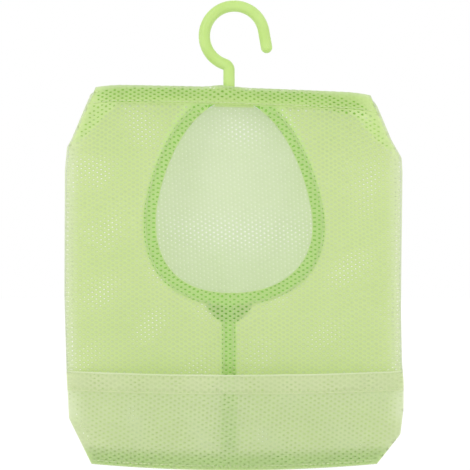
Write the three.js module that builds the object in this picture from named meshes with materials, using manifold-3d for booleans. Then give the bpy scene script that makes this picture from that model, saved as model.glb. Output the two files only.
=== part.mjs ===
// A hanging mesh storage bag: a sewn net bag on a flat plastic bar, carried by a hook that turns in the bar.
// Millimetres, +Z up. The front, with the hand opening and the pocket, faces -Y.
// The origin is the seat inside the hook's crown, where the hook bears on a rail.
import * as THREE from "three";
import { mergeVertices } from "three/addons/utils/BufferGeometryUtils.js";
import Module from "manifold-3d";

const wasm = await Module();
wasm.setup();

// Clearance and cloth
const GAP = 0.3; // between pieces that touch
const CLOTH_T = 0.8; // net
const TAPE_T = 0.6; // hems and seam strips
const THREAD_D = 0.7; // sewing thread

// Hook, a round moulded rod
const ROD_D = 8.6;
const CROWN_R = 23; // centreline of the crown's arc
const NECK_R = 5; // centreline of the bend from the stem to the crown
const STEM_X = -4; // stem axis, left of the crown's centre
const STEM_RISE = 12.8; // straight stem that shows above the bag
const TIP_ANGLE = 10; // degrees above level where the arc runs out into the straight tip
const TIP_LENGTH = 13.2;
const JOURNAL_D = 6; // turns in the bar's boss
const JOURNAL_CLEARANCE = 0.3;
const HEAD_D = 9.4; // snap head under the boss
const HEAD_HEIGHT = 3.2;
const HEAD_NOSE_D = 5.4; // the head tapers to this, so that it can be pushed through the boss
const HEAD_SLOT = 1.4; // split that lets the head close up

// Hanger bar inside the top of the bag
const BAR_LENGTH = 208;
const BAR_HEIGHT = 11;
const BAR_MIDDLE_X = -1.5; // middle of its length
const ARM_STRAIGHT = 45; // half the length of its straight part
const LEFT_DROOP = 2.5; // of its left end, below the straight part
const RIGHT_DROOP = 7; // of its right end, which bears more of the load
const BAR_T = 4;
const BOSS_D = 13;
const BOSS_HEIGHT = 6;
const NOTCH_CLEARANCE = 1; // round the snap head, in the notch under the boss

// Outline of the bag, from its top edge down
const TOP_HALF = 105.5; // half width at the top edge
const SIDE_HALF = 126; // half width along the straight sides
const BOTTOM_HALF = 108.5; // half width at the bottom corners
const TOP_CHAMFER = 44; // height of the sloping top corners
const BOTTOM_CHAMFER = 29; // height of the sloping bottom corners
const BAG_HEIGHT = 286; // top edge to bottom corners
const BOTTOM_SAG = 6; // how far the middle of the bottom hangs below its corners
const SAG_REACH = 60; // height over which the sag fades out

// How the bag hangs: its bar lies out of level in the loose swivel, lower on the right
const TILT = 1.8; // degrees
const TILT_FULL = 60; // the cloth follows the bar down to here
const TILT_END = 205; // and hangs level again from here down
const STRAIGHT_HALF = 84.5; // half the length of the top edge that the bar holds straight
const END_DROOP = 2.4; // of the top corners, past that length

// Depth of the bag, each way from its middle plane
const BELLY_HALF = 22; // at the side edges of the panels
const BELLY_DROP = 190; // from the sleeve down to the full depth
const PILLOW = 5; // how far the middle of a panel stands out past its edges
const SIDE_BULGE = 2.5;

// Sleeve that holds the bar
const SLEEVE_HEIGHT = 14.5;
const SLEEVE_FOOT = 9; // half depth at its open lower edge
const SLEEVE_ARCH = 4; // height of its rounded top
const ARM_SLACK = 1.5; // between the bar's face and the sleeve
const BOSS_SLACK = 1.7; // between the boss and the sleeve
const BOSS_SPREAD = 14; // how quickly the sleeve narrows away from the boss
const STEM_SLACK = 0.8; // round the stem, where it leaves the sleeve

// Hand opening: an egg, narrow above and full below
const OPENING_DROP = 103.3; // top edge to the opening's widest level
const OPENING_R = 58.9; // half width there
const OPENING_RISE = 92; // to the egg's top, which the sleeve cuts off
const OPENING_FALL = 53.9; // to the egg's bottom
const OPENING_LEAN = 2.7; // how far left of its middle the bottom lies
const UPPER_POWER = 1.29; // over 1, the upper sides are straighter than an ellipse's
const LOWER_POWER = 0.87; // under 1, the lower sides are fuller than an ellipse's
const HEM_WIDTH = 9.6;
const PATCH_DROP = 10; // reinforcing patch below the hem
const PATCH_TOP_HALF = 17;
const PATCH_BOTTOM_HALF = 13;
const SEAM_STRIP_WIDTH = 10.6;
const BOTTOM_STRIP_HEIGHT = 12;

// Plain openings in the back, which stand for its fine net
const MESH_COLUMNS = 10;
const MESH_ROWS = 11;
const MESH_OPENING = 9.6; // across and up

// Pocket across the bottom of the front
const POCKET_HEIGHT = 69.3;
const POCKET_GAPE = 11; // how far its mouth stands off the front
const POCKET_HEM = 14;

// Rows of stitching
const STITCH_INSET = 1.5; // from the edge of what is sewn down
const CENTRE_STITCH_HALF = 3.6; // each side of the centre seam

// Mesh fineness
const ROW_STEP = 17;
const HALF_COLUMNS = 7;
const FULL_COLUMNS = 14;
const SIDE_COLUMNS = 4;
const ROD_SIDES = 18;
const ROD_STEPS = 56;
const ROUND_SIDES = 28;
const OPENING_SEGMENTS = 36;
const STITCH_SIDES = 6;
const STITCH_STEP = 7;

// Values worked out from the driving dimensions
const ROD_R = ROD_D / 2;
const CROWN_Z = ROD_R - CROWN_R; // the seat, inside the crown, is at height 0
const NECK_X = STEM_X - NECK_R;
const NECK_Z = CROWN_Z - Math.sqrt((CROWN_R + NECK_R) ** 2 - NECK_X ** 2);
const NECK_TURN = Math.atan2(CROWN_Z - NECK_Z, -NECK_X);
const BAG_TOP = NECK_Z - STEM_RISE;
const ARM_HALF = BAR_T / 2 + ARM_SLACK + CLOTH_T;
const BOSS_HALF = BOSS_D / 2 + BOSS_SLACK + CLOTH_T;
const SLEEVE_BOTTOM = -SLEEVE_HEIGHT;
const PANEL_TOP = SLEEVE_BOTTOM - GAP;
const POCKET_TOP = POCKET_HEIGHT - BAG_HEIGHT;
const OPENING_Z = -OPENING_DROP;
const BAR_TOP = -Math.max(archDrop(BAR_T / 2, ARM_HALF), archDrop(BOSS_D / 2, BOSS_HALF)) - GAP;
const BOSS_BOTTOM = BAR_TOP - BOSS_HEIGHT;
const HEAD_TOP = BOSS_BOTTOM - GAP;
const CUT_DEPTH = 4 * (BELLY_HALF + PILLOW); // long enough to pass right through the bag

const { lerp } = THREE.MathUtils;

// How far below the top edge the inside of the sleeve's arch lies at a distance y from its middle
function archDrop(y, halfDepth) {
  const share = y / (halfDepth - CLOTH_T);
  return CLOTH_T + (SLEEVE_ARCH - CLOTH_T) * (1 - Math.sqrt(1 - share * share));
}

// Half width of the outline at a height below the top edge
function halfWidth(z) {
  const aboveCorner = BAG_HEIGHT + z;
  if (-z < TOP_CHAMFER) return lerp(TOP_HALF, SIDE_HALF, -z / TOP_CHAMFER);
  if (aboveCorner < BOTTOM_CHAMFER) return lerp(BOTTOM_HALF, SIDE_HALF, aboveCorner / BOTTOM_CHAMFER);
  return SIDE_HALF;
}

// Half depth at the side edges: it grows down the sleeve's wall, and from the sleeve down to the belly
function halfDepth(z) {
  if (z > SLEEVE_BOTTOM) return sleeveWall(ARM_HALF, z);
  const share = Math.min(1, Math.max(0, (SLEEVE_BOTTOM - z) / BELLY_DROP));
  return SLEEVE_FOOT + (BELLY_HALF - SLEEVE_FOOT) * Math.sin((share * Math.PI) / 2);
}

// Half depth of the sleeve's wall below its arch, from the half depth at the arch
function sleeveWall(half, z) {
  return lerp(half, SLEEVE_FOOT, (-z - SLEEVE_ARCH) / (SLEEVE_HEIGHT - SLEEVE_ARCH));
}

// Half depth of the sleeve at its arch: it widens round the boss
function archHalf(x) {
  const near = Math.exp(-(((x - STEM_X) / BOSS_SPREAD) ** 2));
  return ARM_HALF + (BOSS_HALF - ARM_HALF) * near;
}

// Distance of a panel from the middle plane: its edge depth, and a pillow that is fullest in its middle
function panelDepth(x, z) {
  const across = x / halfWidth(z);
  const down = Math.min(1, Math.max(0, (SLEEVE_BOTTOM - z) / (BAG_HEIGHT - SLEEVE_HEIGHT)));
  return halfDepth(z) + PILLOW * Math.sin(Math.PI * down) * (1 - across * across);
}

// How far a point hangs below its level, most in the middle of the bottom edge
function sag(x, z) {
  const across = x / halfWidth(z);
  const fade = Math.max(0, 1 - (BAG_HEIGHT + z) / SAG_REACH);
  return BOTTOM_SAG * fade * (1 - across * across);
}

// A point of the front panel's outer face, moved inwards by a distance
function frontPoint(x, z, inwards = 0) {
  return new THREE.Vector3(x, inwards - panelDepth(x, z), z - sag(x, z));
}

// How far the pocket stands off the front: most at the middle of its mouth, not at all along its seams
function pocketGape(x, z) {
  const across = x / halfWidth(z);
  return POCKET_GAPE * Math.max(0, 1 - across * across) * ((z + BAG_HEIGHT) / POCKET_HEIGHT);
}

// A point of the pocket's outer face, moved inwards by a distance
function pocketPoint(x, z, inwards = 0) {
  return frontPoint(x, z, inwards - GAP - CLOTH_T - pocketGape(x, z));
}

// Evenly spaced values from first to last
function spaced(first, last, steps) {
  return Array.from({ length: steps + 1 }, (_, i) => lerp(first, last, i / steps));
}

// Levels from top to bottom, at most a row step apart, with one wherever the cloth's shape changes
function levels(top, bottom) {
  const changes = [
    SLEEVE_BOTTOM,
    -TOP_CHAMFER,
    POCKET_TOP,
    POCKET_TOP - POCKET_HEM,
    SAG_REACH - BAG_HEIGHT,
    BOTTOM_CHAMFER - BAG_HEIGHT,
  ];
  const between = changes.filter((z) => z < top && z > bottom).sort((a, b) => b - a);
  const stops = [top, ...between, bottom];
  const rows = [top];
  for (let i = 1; i < stops.length; i++) {
    const steps = Math.ceil((stops[i - 1] - stops[i]) / ROW_STEP);
    rows.push(...spaced(stops[i - 1], stops[i], steps).slice(1));
  }
  return rows;
}

// Six times the volume that a closed triangle mesh encloses, negative if it is inside out
function signedVolume(positions, index) {
  const corner = (i) => new THREE.Vector3().fromArray(positions, 3 * i);
  let sum = 0;
  for (let i = 0; i < index.length; i += 3) {
    const [a, b, c] = [corner(index[i]), corner(index[i + 1]), corner(index[i + 2])];
    sum += a.dot(b.cross(c));
  }
  return sum;
}

// A geometry from points and triangles, with its faces turned outwards
function closedGeometry(positions, index) {
  if (signedVolume(positions, index) < 0) index.reverse();
  const geometry = new THREE.BufferGeometry();
  geometry.setAttribute("position", new THREE.Float32BufferAttribute(positions, 3));
  geometry.setIndex(index);
  return geometry;
}

// A closed skin over rings of points, all with the same count, with a flat cap on each end ring
function skinGeometry(rings, caps) {
  const count = rings[0].length;
  const positions = rings.flat().flatMap((p) => [p.x, p.y, p.z]);
  const index = [];
  for (let r = 0; r + 1 < rings.length; r++) {
    for (let i = 0; i < count; i++) {
      const a = r * count + i;
      const b = r * count + ((i + 1) % count);
      index.push(a, b, b + count, a, b + count, a + count);
    }
  }
  const last = (rings.length - 1) * count;
  for (const [a, b, c] of caps) {
    index.push(a, c, b);
    index.push(last + a, last + b, last + c);
  }
  return closedGeometry(positions, index);
}

// A sheet: outer face points on a grid of columns and rows, and the same points moved inwards by the thickness
function sheetGeometry(columns, rows, point, inwards) {
  const rings = rows.map((row) => {
    const outer = columns.map((column) => point(column, row));
    const inner = outer.map((p) => p.clone().add(inwards)).reverse();
    return [...outer, ...inner];
  });
  const ends = 2 * columns.length - 1;
  const caps = [];
  for (let i = 0; i + 1 < columns.length; i++) {
    caps.push([i, i + 1, ends - i - 1], [i, ends - i - 1, ends - i]);
  }
  return skinGeometry(rings, caps);
}

// A solid for joining and cutting
function solid(geometry) {
  const bare = geometry.clone();
  bare.deleteAttribute("normal");
  bare.deleteAttribute("uv");
  const merged = mergeVertices(bare, 1e-4);
  const vertProperties = merged.attributes.position.array;
  const triVerts = new Uint32Array(merged.index.array);
  return new wasm.Manifold(new wasm.Mesh({ numProp: 3, vertProperties, triVerts }));
}

// A geometry from a joined or cut solid
function geometryOf(made) {
  const mesh = made.getMesh();
  const geometry = new THREE.BufferGeometry();
  geometry.setAttribute("position", new THREE.BufferAttribute(mesh.vertProperties, 3));
  geometry.setIndex(new THREE.BufferAttribute(mesh.triVerts, 1));
  return geometry;
}

// A prism through the bag from front to back, from an outline in the X-Z plane
function throughPrism(shape, segments) {
  const options = { depth: CUT_DEPTH, bevelEnabled: false, curveSegments: segments };
  const prism = new THREE.ExtrudeGeometry(shape, options);
  prism.rotateX(Math.PI / 2);
  prism.translate(0, CUT_DEPTH / 2, 0);
  return solid(prism);
}

// A point of the hand opening's outline, grown outwards, at an angle from level on the right
function openingPoint(grown, angle) {
  const across = Math.cos(angle);
  const radius = OPENING_R + grown;
  if (Math.sin(angle) > 0) {
    const up = Math.sin(angle) ** UPPER_POWER;
    return new THREE.Vector2(radius * across, OPENING_Z + (OPENING_RISE + grown) * up);
  }
  const down = Math.abs(Math.sin(angle)) ** LOWER_POWER;
  const x = radius * Math.sign(across) * Math.abs(across) ** LOWER_POWER - OPENING_LEAN * down * down;
  return new THREE.Vector2(x, OPENING_Z - (OPENING_FALL + grown) * down);
}

// The hand opening's outline, grown outwards by a distance, as a prism through the bag
function openingPrism(grown) {
  const angles = spaced(0, 2 * Math.PI, OPENING_SEGMENTS).slice(1);
  return throughPrism(new THREE.Shape(angles.map((angle) => openingPoint(grown, angle))), 1);
}

// An upright cylinder standing on a level
function cylinder(diameter, bottom, height, x) {
  const made = new THREE.CylinderGeometry(diameter / 2, diameter / 2, height, ROUND_SIDES);
  made.rotateX(Math.PI / 2);
  made.translate(x, 0, bottom + height / 2);
  return solid(made);
}

// A box given by its middle and its sizes
function block(width, depth, height, x, y, z) {
  const made = new THREE.BoxGeometry(width, depth, height);
  made.translate(x, y, z);
  return solid(made);
}

// The hook's centreline, from the journal's shoulder up the stem, round the neck and the crown, to the tip
class HookLine extends THREE.Curve {
  constructor(stemBottom) {
    super();
    this.stemBottom = stemBottom;
    this.crownFrom = Math.PI + NECK_TURN;
    this.crownTo = THREE.MathUtils.degToRad(TIP_ANGLE);
    this.lengths = [
      NECK_Z - stemBottom,
      NECK_R * NECK_TURN,
      CROWN_R * (this.crownFrom - this.crownTo),
      TIP_LENGTH,
    ];
  }

  getPoint(t) {
    const total = this.lengths.reduce((sum, length) => sum + length, 0);
    let along = t * total;
    let stretch = 0;
    while (stretch < 3 && along > this.lengths[stretch]) along -= this.lengths[stretch++];
    if (stretch === 0) return new THREE.Vector3(STEM_X, 0, this.stemBottom + along);
    if (stretch === 1) return onArc(NECK_X, NECK_Z, NECK_R, along / NECK_R);
    if (stretch === 2) return onArc(0, CROWN_Z, CROWN_R, this.crownFrom - along / CROWN_R);
    const start = onArc(0, CROWN_Z, CROWN_R, this.crownTo);
    const down = new THREE.Vector3(Math.sin(this.crownTo), 0, -Math.cos(this.crownTo));
    return start.addScaledVector(down, along);
  }
}

// A point on an upright circle
function onArc(x, z, radius, angle) {
  return new THREE.Vector3(x + radius * Math.cos(angle), 0, z + radius * Math.sin(angle));
}

// Hook: a bent round rod with a ball-ended tip, and under its shoulder a journal with a split snap head
function hookGeometry() {
  const shoulder = BAG_TOP + BAR_TOP + GAP;
  const line = new HookLine(shoulder);
  const section = new THREE.Shape().absarc(0, 0, ROD_R, 0, 2 * Math.PI, false);
  const options = { steps: ROD_STEPS, curveSegments: ROD_SIDES / 2, bevelEnabled: false, extrudePath: line };
  const rod = solid(new THREE.ExtrudeGeometry(section, options));
  const ball = new THREE.SphereGeometry(ROD_R, ROD_SIDES, 10);
  ball.translate(...line.getPoint(1).toArray());
  const headTop = BAG_TOP + HEAD_TOP;
  const profile = [
    [0, headTop - HEAD_HEIGHT],
    [HEAD_NOSE_D / 2, headTop - HEAD_HEIGHT],
    [HEAD_D / 2, headTop - HEAD_HEIGHT / 4],
    [HEAD_D / 2, headTop],
    [JOURNAL_D / 2, headTop],
    [JOURNAL_D / 2, shoulder + ROD_R],
    [0, shoulder + ROD_R],
  ];
  const points = profile.map(([x, y]) => new THREE.Vector2(x, y));
  const journal = new THREE.LatheGeometry(points, ROUND_SIDES);
  journal.rotateX(Math.PI / 2);
  journal.translate(STEM_X, 0, 0);
  const slotHeight = HEAD_HEIGHT + BOSS_HEIGHT / 2;
  const slotMiddle = headTop - HEAD_HEIGHT + slotHeight / 2;
  const slot = block(HEAD_SLOT, 2 * HEAD_D, slotHeight + GAP, STEM_X, 0, slotMiddle - GAP / 2);
  return geometryOf(rod.add(solid(ball)).add(solid(journal).subtract(slot)));
}

// Outline of one arm of the bar, out along its top, round the end and back below, as for the right arm
function armOutline(droop) {
  const endR = BAR_HEIGHT / 2;
  const reach = BAR_LENGTH / 2 - endR - ARM_STRAIGHT;
  const axis = new THREE.QuadraticBezierCurve(
    new THREE.Vector2(ARM_STRAIGHT, 0),
    new THREE.Vector2(ARM_STRAIGHT + reach / 2, 0),
    new THREE.Vector2(ARM_STRAIGHT + reach, -droop),
  );
  const beside = (share, side) => {
    const ahead = axis.getTangent(share);
    return axis.getPoint(share).add(new THREE.Vector2(-ahead.y, ahead.x).multiplyScalar(side * endR));
  };
  const lean = axis.getTangent(1).angle();
  const round = spaced(lean + Math.PI / 2, lean - Math.PI / 2, 9).slice(1, -1);
  const cap = round.map((angle) => new THREE.Vector2(Math.cos(angle), Math.sin(angle)).multiplyScalar(endR));
  const shares = spaced(0, 1, 6);
  return [
    ...shares.map((share) => beside(share, 1)),
    ...cap.map((point) => point.add(axis.getPoint(1))),
    ...shares.reverse().map((share) => beside(share, -1)),
  ];
}

// Hanger bar: a flat strip whose arms droop to round ends, a boss that the hook turns in, and a notch for the snap head
function barGeometry() {
  const left = armOutline(LEFT_DROOP).map((point) => new THREE.Vector2(-point.x, point.y));
  const shape = new THREE.Shape([...armOutline(RIGHT_DROOP), ...left.reverse()]);
  const strip = new THREE.ExtrudeGeometry(shape, { depth: BAR_T, bevelEnabled: false });
  strip.rotateX(Math.PI / 2);
  strip.translate(BAR_MIDDLE_X, BAR_T / 2, BAR_TOP - BAR_HEIGHT / 2);
  const boss = cylinder(BOSS_D, BOSS_BOTTOM, BOSS_HEIGHT, STEM_X);
  const bore = cylinder(JOURNAL_D + 2 * JOURNAL_CLEARANCE, BOSS_BOTTOM - GAP, BOSS_HEIGHT + 2 * GAP, STEM_X);
  const notchWidth = HEAD_D + 2 * NOTCH_CLEARANCE;
  const notch = block(notchWidth, BOSS_D, BAR_HEIGHT, STEM_X, 0, BOSS_BOTTOM - BAR_HEIGHT / 2);
  return geometryOf(solid(strip).subtract(notch).add(boss).subtract(bore));
}

// Sleeve: a strip of net folded over the bar, open below, with a hole for the stem
function sleeveGeometry() {
  const columns = [...spaced(-1, STEM_X / TOP_HALF, 9), ...spaced(STEM_X / TOP_HALF, 1, 9).slice(1)];
  const arch = spaced(-Math.PI / 2, Math.PI / 2, 8);
  const section = (share, inwards) => {
    const half = archHalf(share * TOP_HALF) - inwards;
    const foot = SLEEVE_FOOT - inwards;
    const drop = (angle) => inwards + (SLEEVE_ARCH - inwards) * (1 - Math.cos(angle));
    const profile = arch.map((angle) => [half * Math.sin(angle), -drop(angle)]);
    const outline = [[-foot, SLEEVE_BOTTOM], ...profile, [foot, SLEEVE_BOTTOM]];
    return outline.map(([y, z]) => new THREE.Vector3(share * halfWidth(z), y, z));
  };
  const rings = columns.map((share) => [...section(share, 0), ...section(share, CLOTH_T).reverse()]);
  const count = arch.length + 2;
  const caps = [];
  for (let i = 0; i + 1 < count; i++) {
    const far = 2 * count - 1 - i;
    caps.push([i, i + 1, far - 1], [i, far - 1, far]);
  }
  const hole = cylinder(ROD_D + 2 * STEM_SLACK, -SLEEVE_ARCH, 2 * SLEEVE_ARCH, STEM_X);
  return geometryOf(solid(skinGeometry(rings, caps)).subtract(hole));
}

// One half of the front, from its side edge to the centre seam, moved inwards by a distance
function frontHalf(side, inwards, thickness) {
  const seam = STEM_X + (side * GAP) / 2;
  const point = (share, z) => frontPoint(lerp(side * halfWidth(z), seam, share), z, inwards);
  const rows = levels(PANEL_TOP, -BAG_HEIGHT);
  return solid(sheetGeometry(spaced(0, 1, HALF_COLUMNS), rows, point, new THREE.Vector3(0, thickness, 0)));
}

// Front half with its share of the hand opening cut out
function frontPanelGeometry(side) {
  return geometryOf(frontHalf(side, 0, CLOTH_T).subtract(openingPrism(0)));
}

// Hem along one half of the hand opening, on the inside of the net
function openingHemGeometry(side) {
  const ring = openingPrism(HEM_WIDTH).subtract(openingPrism(0));
  return geometryOf(frontHalf(side, CLOTH_T + GAP, TAPE_T).intersect(ring));
}

// A strip on the inside of the front, between two edges and two levels
function insideStrip(left, right, top, bottom) {
  const point = (x, z) => frontPoint(x, z, CLOTH_T + GAP);
  return solid(sheetGeometry(spaced(left, right, 4), levels(top, bottom), point, new THREE.Vector3(0, TAPE_T, 0)));
}

// Patch below the hand opening, where the two hems come together
function patchGeometry() {
  const bottom = patchBottom();
  const top = bottom + PATCH_DROP + HEM_WIDTH;
  const shape = new THREE.Shape();
  shape.moveTo(STEM_X - PATCH_BOTTOM_HALF, bottom);
  shape.lineTo(STEM_X + PATCH_BOTTOM_HALF, bottom);
  shape.lineTo(STEM_X + PATCH_TOP_HALF, top);
  shape.lineTo(STEM_X - PATCH_TOP_HALF, top);
  const outline = throughPrism(shape, 1).subtract(openingPrism(HEM_WIDTH + GAP));
  const strip = insideStrip(STEM_X - PATCH_TOP_HALF, STEM_X + PATCH_TOP_HALF, top, bottom);
  return geometryOf(strip.intersect(outline));
}

// Lower edge of the patch
function patchBottom() {
  return OPENING_Z - OPENING_FALL - HEM_WIDTH - PATCH_DROP;
}

// Strip behind the centre seam, from the patch down to the bottom strip
function seamStripGeometry() {
  const half = SEAM_STRIP_WIDTH / 2;
  const bottom = bottomStripTop() + GAP;
  return geometryOf(insideStrip(STEM_X - half, STEM_X + half, patchBottom() - GAP, bottom));
}

// Upper edge of the bottom strip
function bottomStripTop() {
  return BOTTOM_STRIP_HEIGHT + CLOTH_T + GAP - BAG_HEIGHT;
}

// Strip inside the front along the bottom seam, between the side panels
function bottomStripGeometry() {
  const point = (share, z) => frontPoint(share * (halfWidth(z) - CLOTH_T - GAP), z, CLOTH_T + GAP);
  const rows = levels(bottomStripTop(), bottomStripTop() - BOTTOM_STRIP_HEIGHT);
  return sheetGeometry(spaced(-1, 1, FULL_COLUMNS), rows, point, new THREE.Vector3(0, TAPE_T, 0));
}

// The openings of the back's grid, which widens and narrows with the outline
function meshOpenings() {
  const cells = (count) => Array.from({ length: count }, (_, i) => (i + 0.5) / count);
  const openings = cells(MESH_ROWS).flatMap((down) => {
    const z = lerp(PANEL_TOP, -BAG_HEIGHT, down);
    return cells(MESH_COLUMNS).map((along) => {
      const x = lerp(-halfWidth(z), halfWidth(z), along);
      return block(MESH_OPENING, CUT_DEPTH, MESH_OPENING, x, 0, z - sag(x, z));
    });
  });
  return wasm.Manifold.union(openings);
}

// Back of the bag, one whole panel with its grid of openings
function backPanelGeometry() {
  const point = (share, z) => {
    const x = share * halfWidth(z);
    return new THREE.Vector3(x, panelDepth(x, z), z - sag(x, z));
  };
  const rows = levels(PANEL_TOP, -BAG_HEIGHT);
  const panel = sheetGeometry(spaced(-1, 1, FULL_COLUMNS), rows, point, new THREE.Vector3(0, -CLOTH_T, 0));
  return geometryOf(solid(panel).subtract(meshOpenings()));
}

// Distance from the middle plane to the edge of a side or bottom panel, just inside the front and the back
function wallHalf(z) {
  return halfDepth(z) - CLOTH_T - GAP;
}

// Side wall, from the sleeve's arch down to the bottom panel; its top closes the end of the sleeve
function sidePanelGeometry(side) {
  const point = (share, z) => {
    const out = halfWidth(z) + SIDE_BULGE * (1 - share * share);
    return new THREE.Vector3(side * out, share * wallHalf(z), z);
  };
  const rows = levels(-SLEEVE_ARCH, CLOTH_T + GAP - BAG_HEIGHT);
  return sheetGeometry(spaced(-1, 1, SIDE_COLUMNS), rows, point, new THREE.Vector3(-side * CLOTH_T, 0, 0));
}

// Bottom of the bag, following the sag of the front and the back
function bottomPanelGeometry() {
  const level = -BAG_HEIGHT;
  const point = (share, along) => {
    const x = share * halfWidth(level);
    return new THREE.Vector3(x, along * wallHalf(level), level - sag(x, level));
  };
  const inwards = new THREE.Vector3(0, 0, CLOTH_T);
  return sheetGeometry(spaced(-1, 1, FULL_COLUMNS), spaced(-1, 1, SIDE_COLUMNS), point, inwards);
}

// Pocket: a net panel sewn to the front along its sides and bottom, open at the top
function pocketGeometry() {
  const point = (share, z) => pocketPoint(share * halfWidth(z), z);
  const rows = levels(POCKET_TOP, -BAG_HEIGHT);
  return sheetGeometry(spaced(-1, 1, FULL_COLUMNS), rows, point, new THREE.Vector3(0, CLOTH_T, 0));
}

// Hem folded over the front of the pocket's mouth
function pocketHemGeometry() {
  const point = (share, z) => pocketPoint(share * halfWidth(z), z, -GAP - TAPE_T);
  const rows = levels(POCKET_TOP, POCKET_TOP - POCKET_HEM);
  return sheetGeometry(spaced(-1, 1, FULL_COLUMNS), rows, point, new THREE.Vector3(0, TAPE_T, 0));
}

// A row of sewing thread along points that lie just off the cloth
function stitchGeometry(points) {
  const line = new THREE.CatmullRomCurve3(points);
  const section = new THREE.Shape().absarc(0, 0, THREAD_D / 2, 0, 2 * Math.PI, false);
  const steps = Math.ceil(line.getLength() / STITCH_STEP);
  const options = { steps, curveSegments: STITCH_SIDES / 2, bevelEnabled: false, extrudePath: line };
  return new THREE.ExtrudeGeometry(section, options);
}

const THREAD_LIFT = GAP + THREAD_D / 2; // from a cloth face to the middle of the thread on it

// Stitching along one half of the hem, from below the sleeve round to the centre seam
function hemStitchGeometry(side) {
  const grown = HEM_WIDTH - STITCH_INSET;
  const up = (PANEL_TOP - STITCH_INSET - OPENING_Z) / (OPENING_RISE + grown);
  const top = Math.asin(up ** (1 / UPPER_POWER));
  const across = (STEM_X + side * CENTRE_STITCH_HALF + OPENING_LEAN) / (OPENING_R + grown);
  const seam = Math.acos(Math.sign(across) * Math.abs(across) ** (1 / LOWER_POWER));
  const angles = side > 0 ? spaced(top, -seam, 28) : spaced(Math.PI - top, 2 * Math.PI - seam, 28);
  const points = angles.map((angle) => {
    const place = openingPoint(grown, angle);
    return frontPoint(place.x, place.y, -THREAD_LIFT);
  });
  return stitchGeometry(points);
}

// One row of stitching beside the centre seam, from the hem down to the pocket's mouth
function centreStitchGeometry(side) {
  const x = STEM_X + side * CENTRE_STITCH_HALF;
  const top = OPENING_Z - OPENING_FALL - HEM_WIDTH;
  const bottom = POCKET_TOP + STITCH_INSET;
  return stitchGeometry(spaced(top, bottom, 8).map((z) => frontPoint(x, z, -THREAD_LIFT)));
}

// Stitching across the foot of the sleeve, on the front or the back
function sleeveStitchGeometry(face) {
  const z = SLEEVE_BOTTOM + STITCH_INSET;
  const reach = halfWidth(z) - STITCH_INSET;
  const points = spaced(-reach, reach, 36).map((x) => {
    return new THREE.Vector3(x, face * (sleeveWall(archHalf(x), z) + THREAD_LIFT), z);
  });
  return stitchGeometry(points);
}

// Stitching along the foot of the pocket's hem
function pocketStitchGeometry() {
  const z = POCKET_TOP - POCKET_HEM + STITCH_INSET;
  const reach = halfWidth(z) - STITCH_INSET;
  const lift = GAP + TAPE_T + THREAD_LIFT;
  return stitchGeometry(spaced(-reach, reach, 24).map((x) => pocketPoint(x, z, -lift)));
}

// Stitching along the bottom seam, through the pocket
function bottomStitchGeometry() {
  const z = 2 * STITCH_INSET - BAG_HEIGHT;
  const reach = halfWidth(z) - STITCH_INSET;
  return stitchGeometry(spaced(-reach, reach, 24).map((x) => pocketPoint(x, z, -THREAD_LIFT)));
}

// Materials, with the colours of the object
const plastic = new THREE.MeshStandardMaterial({ color: 0xc9e58f, roughness: 0.35, metalness: 0 });
const net = new THREE.MeshStandardMaterial({ color: 0xc3dc98, roughness: 0.7, metalness: 0 });
const tape = new THREE.MeshStandardMaterial({ color: 0xa9cf7a, roughness: 0.8, metalness: 0 });
const thread = new THREE.MeshStandardMaterial({ color: 0xbfdc90, roughness: 0.6, metalness: 0 });

// How far the cloth hangs below its level shape, from the bar's tilt and towards the bar's ends
function hangDrop(x, z) {
  const follows = THREE.MathUtils.smoothstep(z, -TILT_END, -TILT_FULL);
  const past = Math.max(0, (Math.abs(x) - STRAIGHT_HALF) / (TOP_HALF - STRAIGHT_HALF));
  const tilt = Math.tan(THREE.MathUtils.degToRad(TILT)) * (x - STEM_X);
  return follows * (tilt + END_DROOP * Math.min(1, past * past));
}

// Cloth in its hanging shape
function hung(geometry) {
  const place = geometry.attributes.position;
  for (let i = 0; i < place.count; i++) {
    place.setZ(i, place.getZ(i) - hangDrop(place.getX(i), place.getZ(i)));
  }
  return geometry;
}

// The bar, turned out of level about the middle of its boss
function tilted(geometry) {
  const middle = BAR_TOP - BOSS_HEIGHT / 2;
  geometry.translate(-STEM_X, 0, -middle);
  geometry.rotateY(THREE.MathUtils.degToRad(TILT));
  geometry.translate(STEM_X, 0, middle);
  return geometry;
}

// Adds a named piece to a group
function add(group, name, geometry, material) {
  const piece = new THREE.Mesh(geometry, material);
  piece.name = name;
  group.add(piece);
}

// Adds a named piece of cloth or thread to the bag, as it hangs
function addCloth(name, geometry, material) {
  add(bag, name, hung(geometry), material);
}

const root = new THREE.Group();
add(root, "hook", hookGeometry(), plastic);

const bag = new THREE.Group();
bag.position.z = BAG_TOP;
root.add(bag);
add(bag, "hanger_bar", tilted(barGeometry()), plastic);
addCloth("bar_sleeve", sleeveGeometry(), net);
addCloth("back_panel", backPanelGeometry(), net);
addCloth("bottom_panel", bottomPanelGeometry(), net);
addCloth("opening_patch", patchGeometry(), tape);
addCloth("centre_seam_strip", seamStripGeometry(), tape);
addCloth("bottom_seam_strip", bottomStripGeometry(), tape);
addCloth("pocket_panel", pocketGeometry(), net);
addCloth("pocket_hem", pocketHemGeometry(), net);
for (const [word, side] of [["left", -1], ["right", 1]]) {
  addCloth(`front_${word}_panel`, frontPanelGeometry(side), net);
  addCloth(`${word}_opening_hem`, openingHemGeometry(side), tape);
  addCloth(`${word}_side_panel`, sidePanelGeometry(side), net);
  addCloth(`${word}_hem_stitching`, hemStitchGeometry(side), thread);
  addCloth(`centre_${word}_stitching`, centreStitchGeometry(side), thread);
}
addCloth("sleeve_front_stitching", sleeveStitchGeometry(-1), thread);
addCloth("sleeve_back_stitching", sleeveStitchGeometry(1), thread);
addCloth("pocket_hem_stitching", pocketStitchGeometry(), thread);
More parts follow.
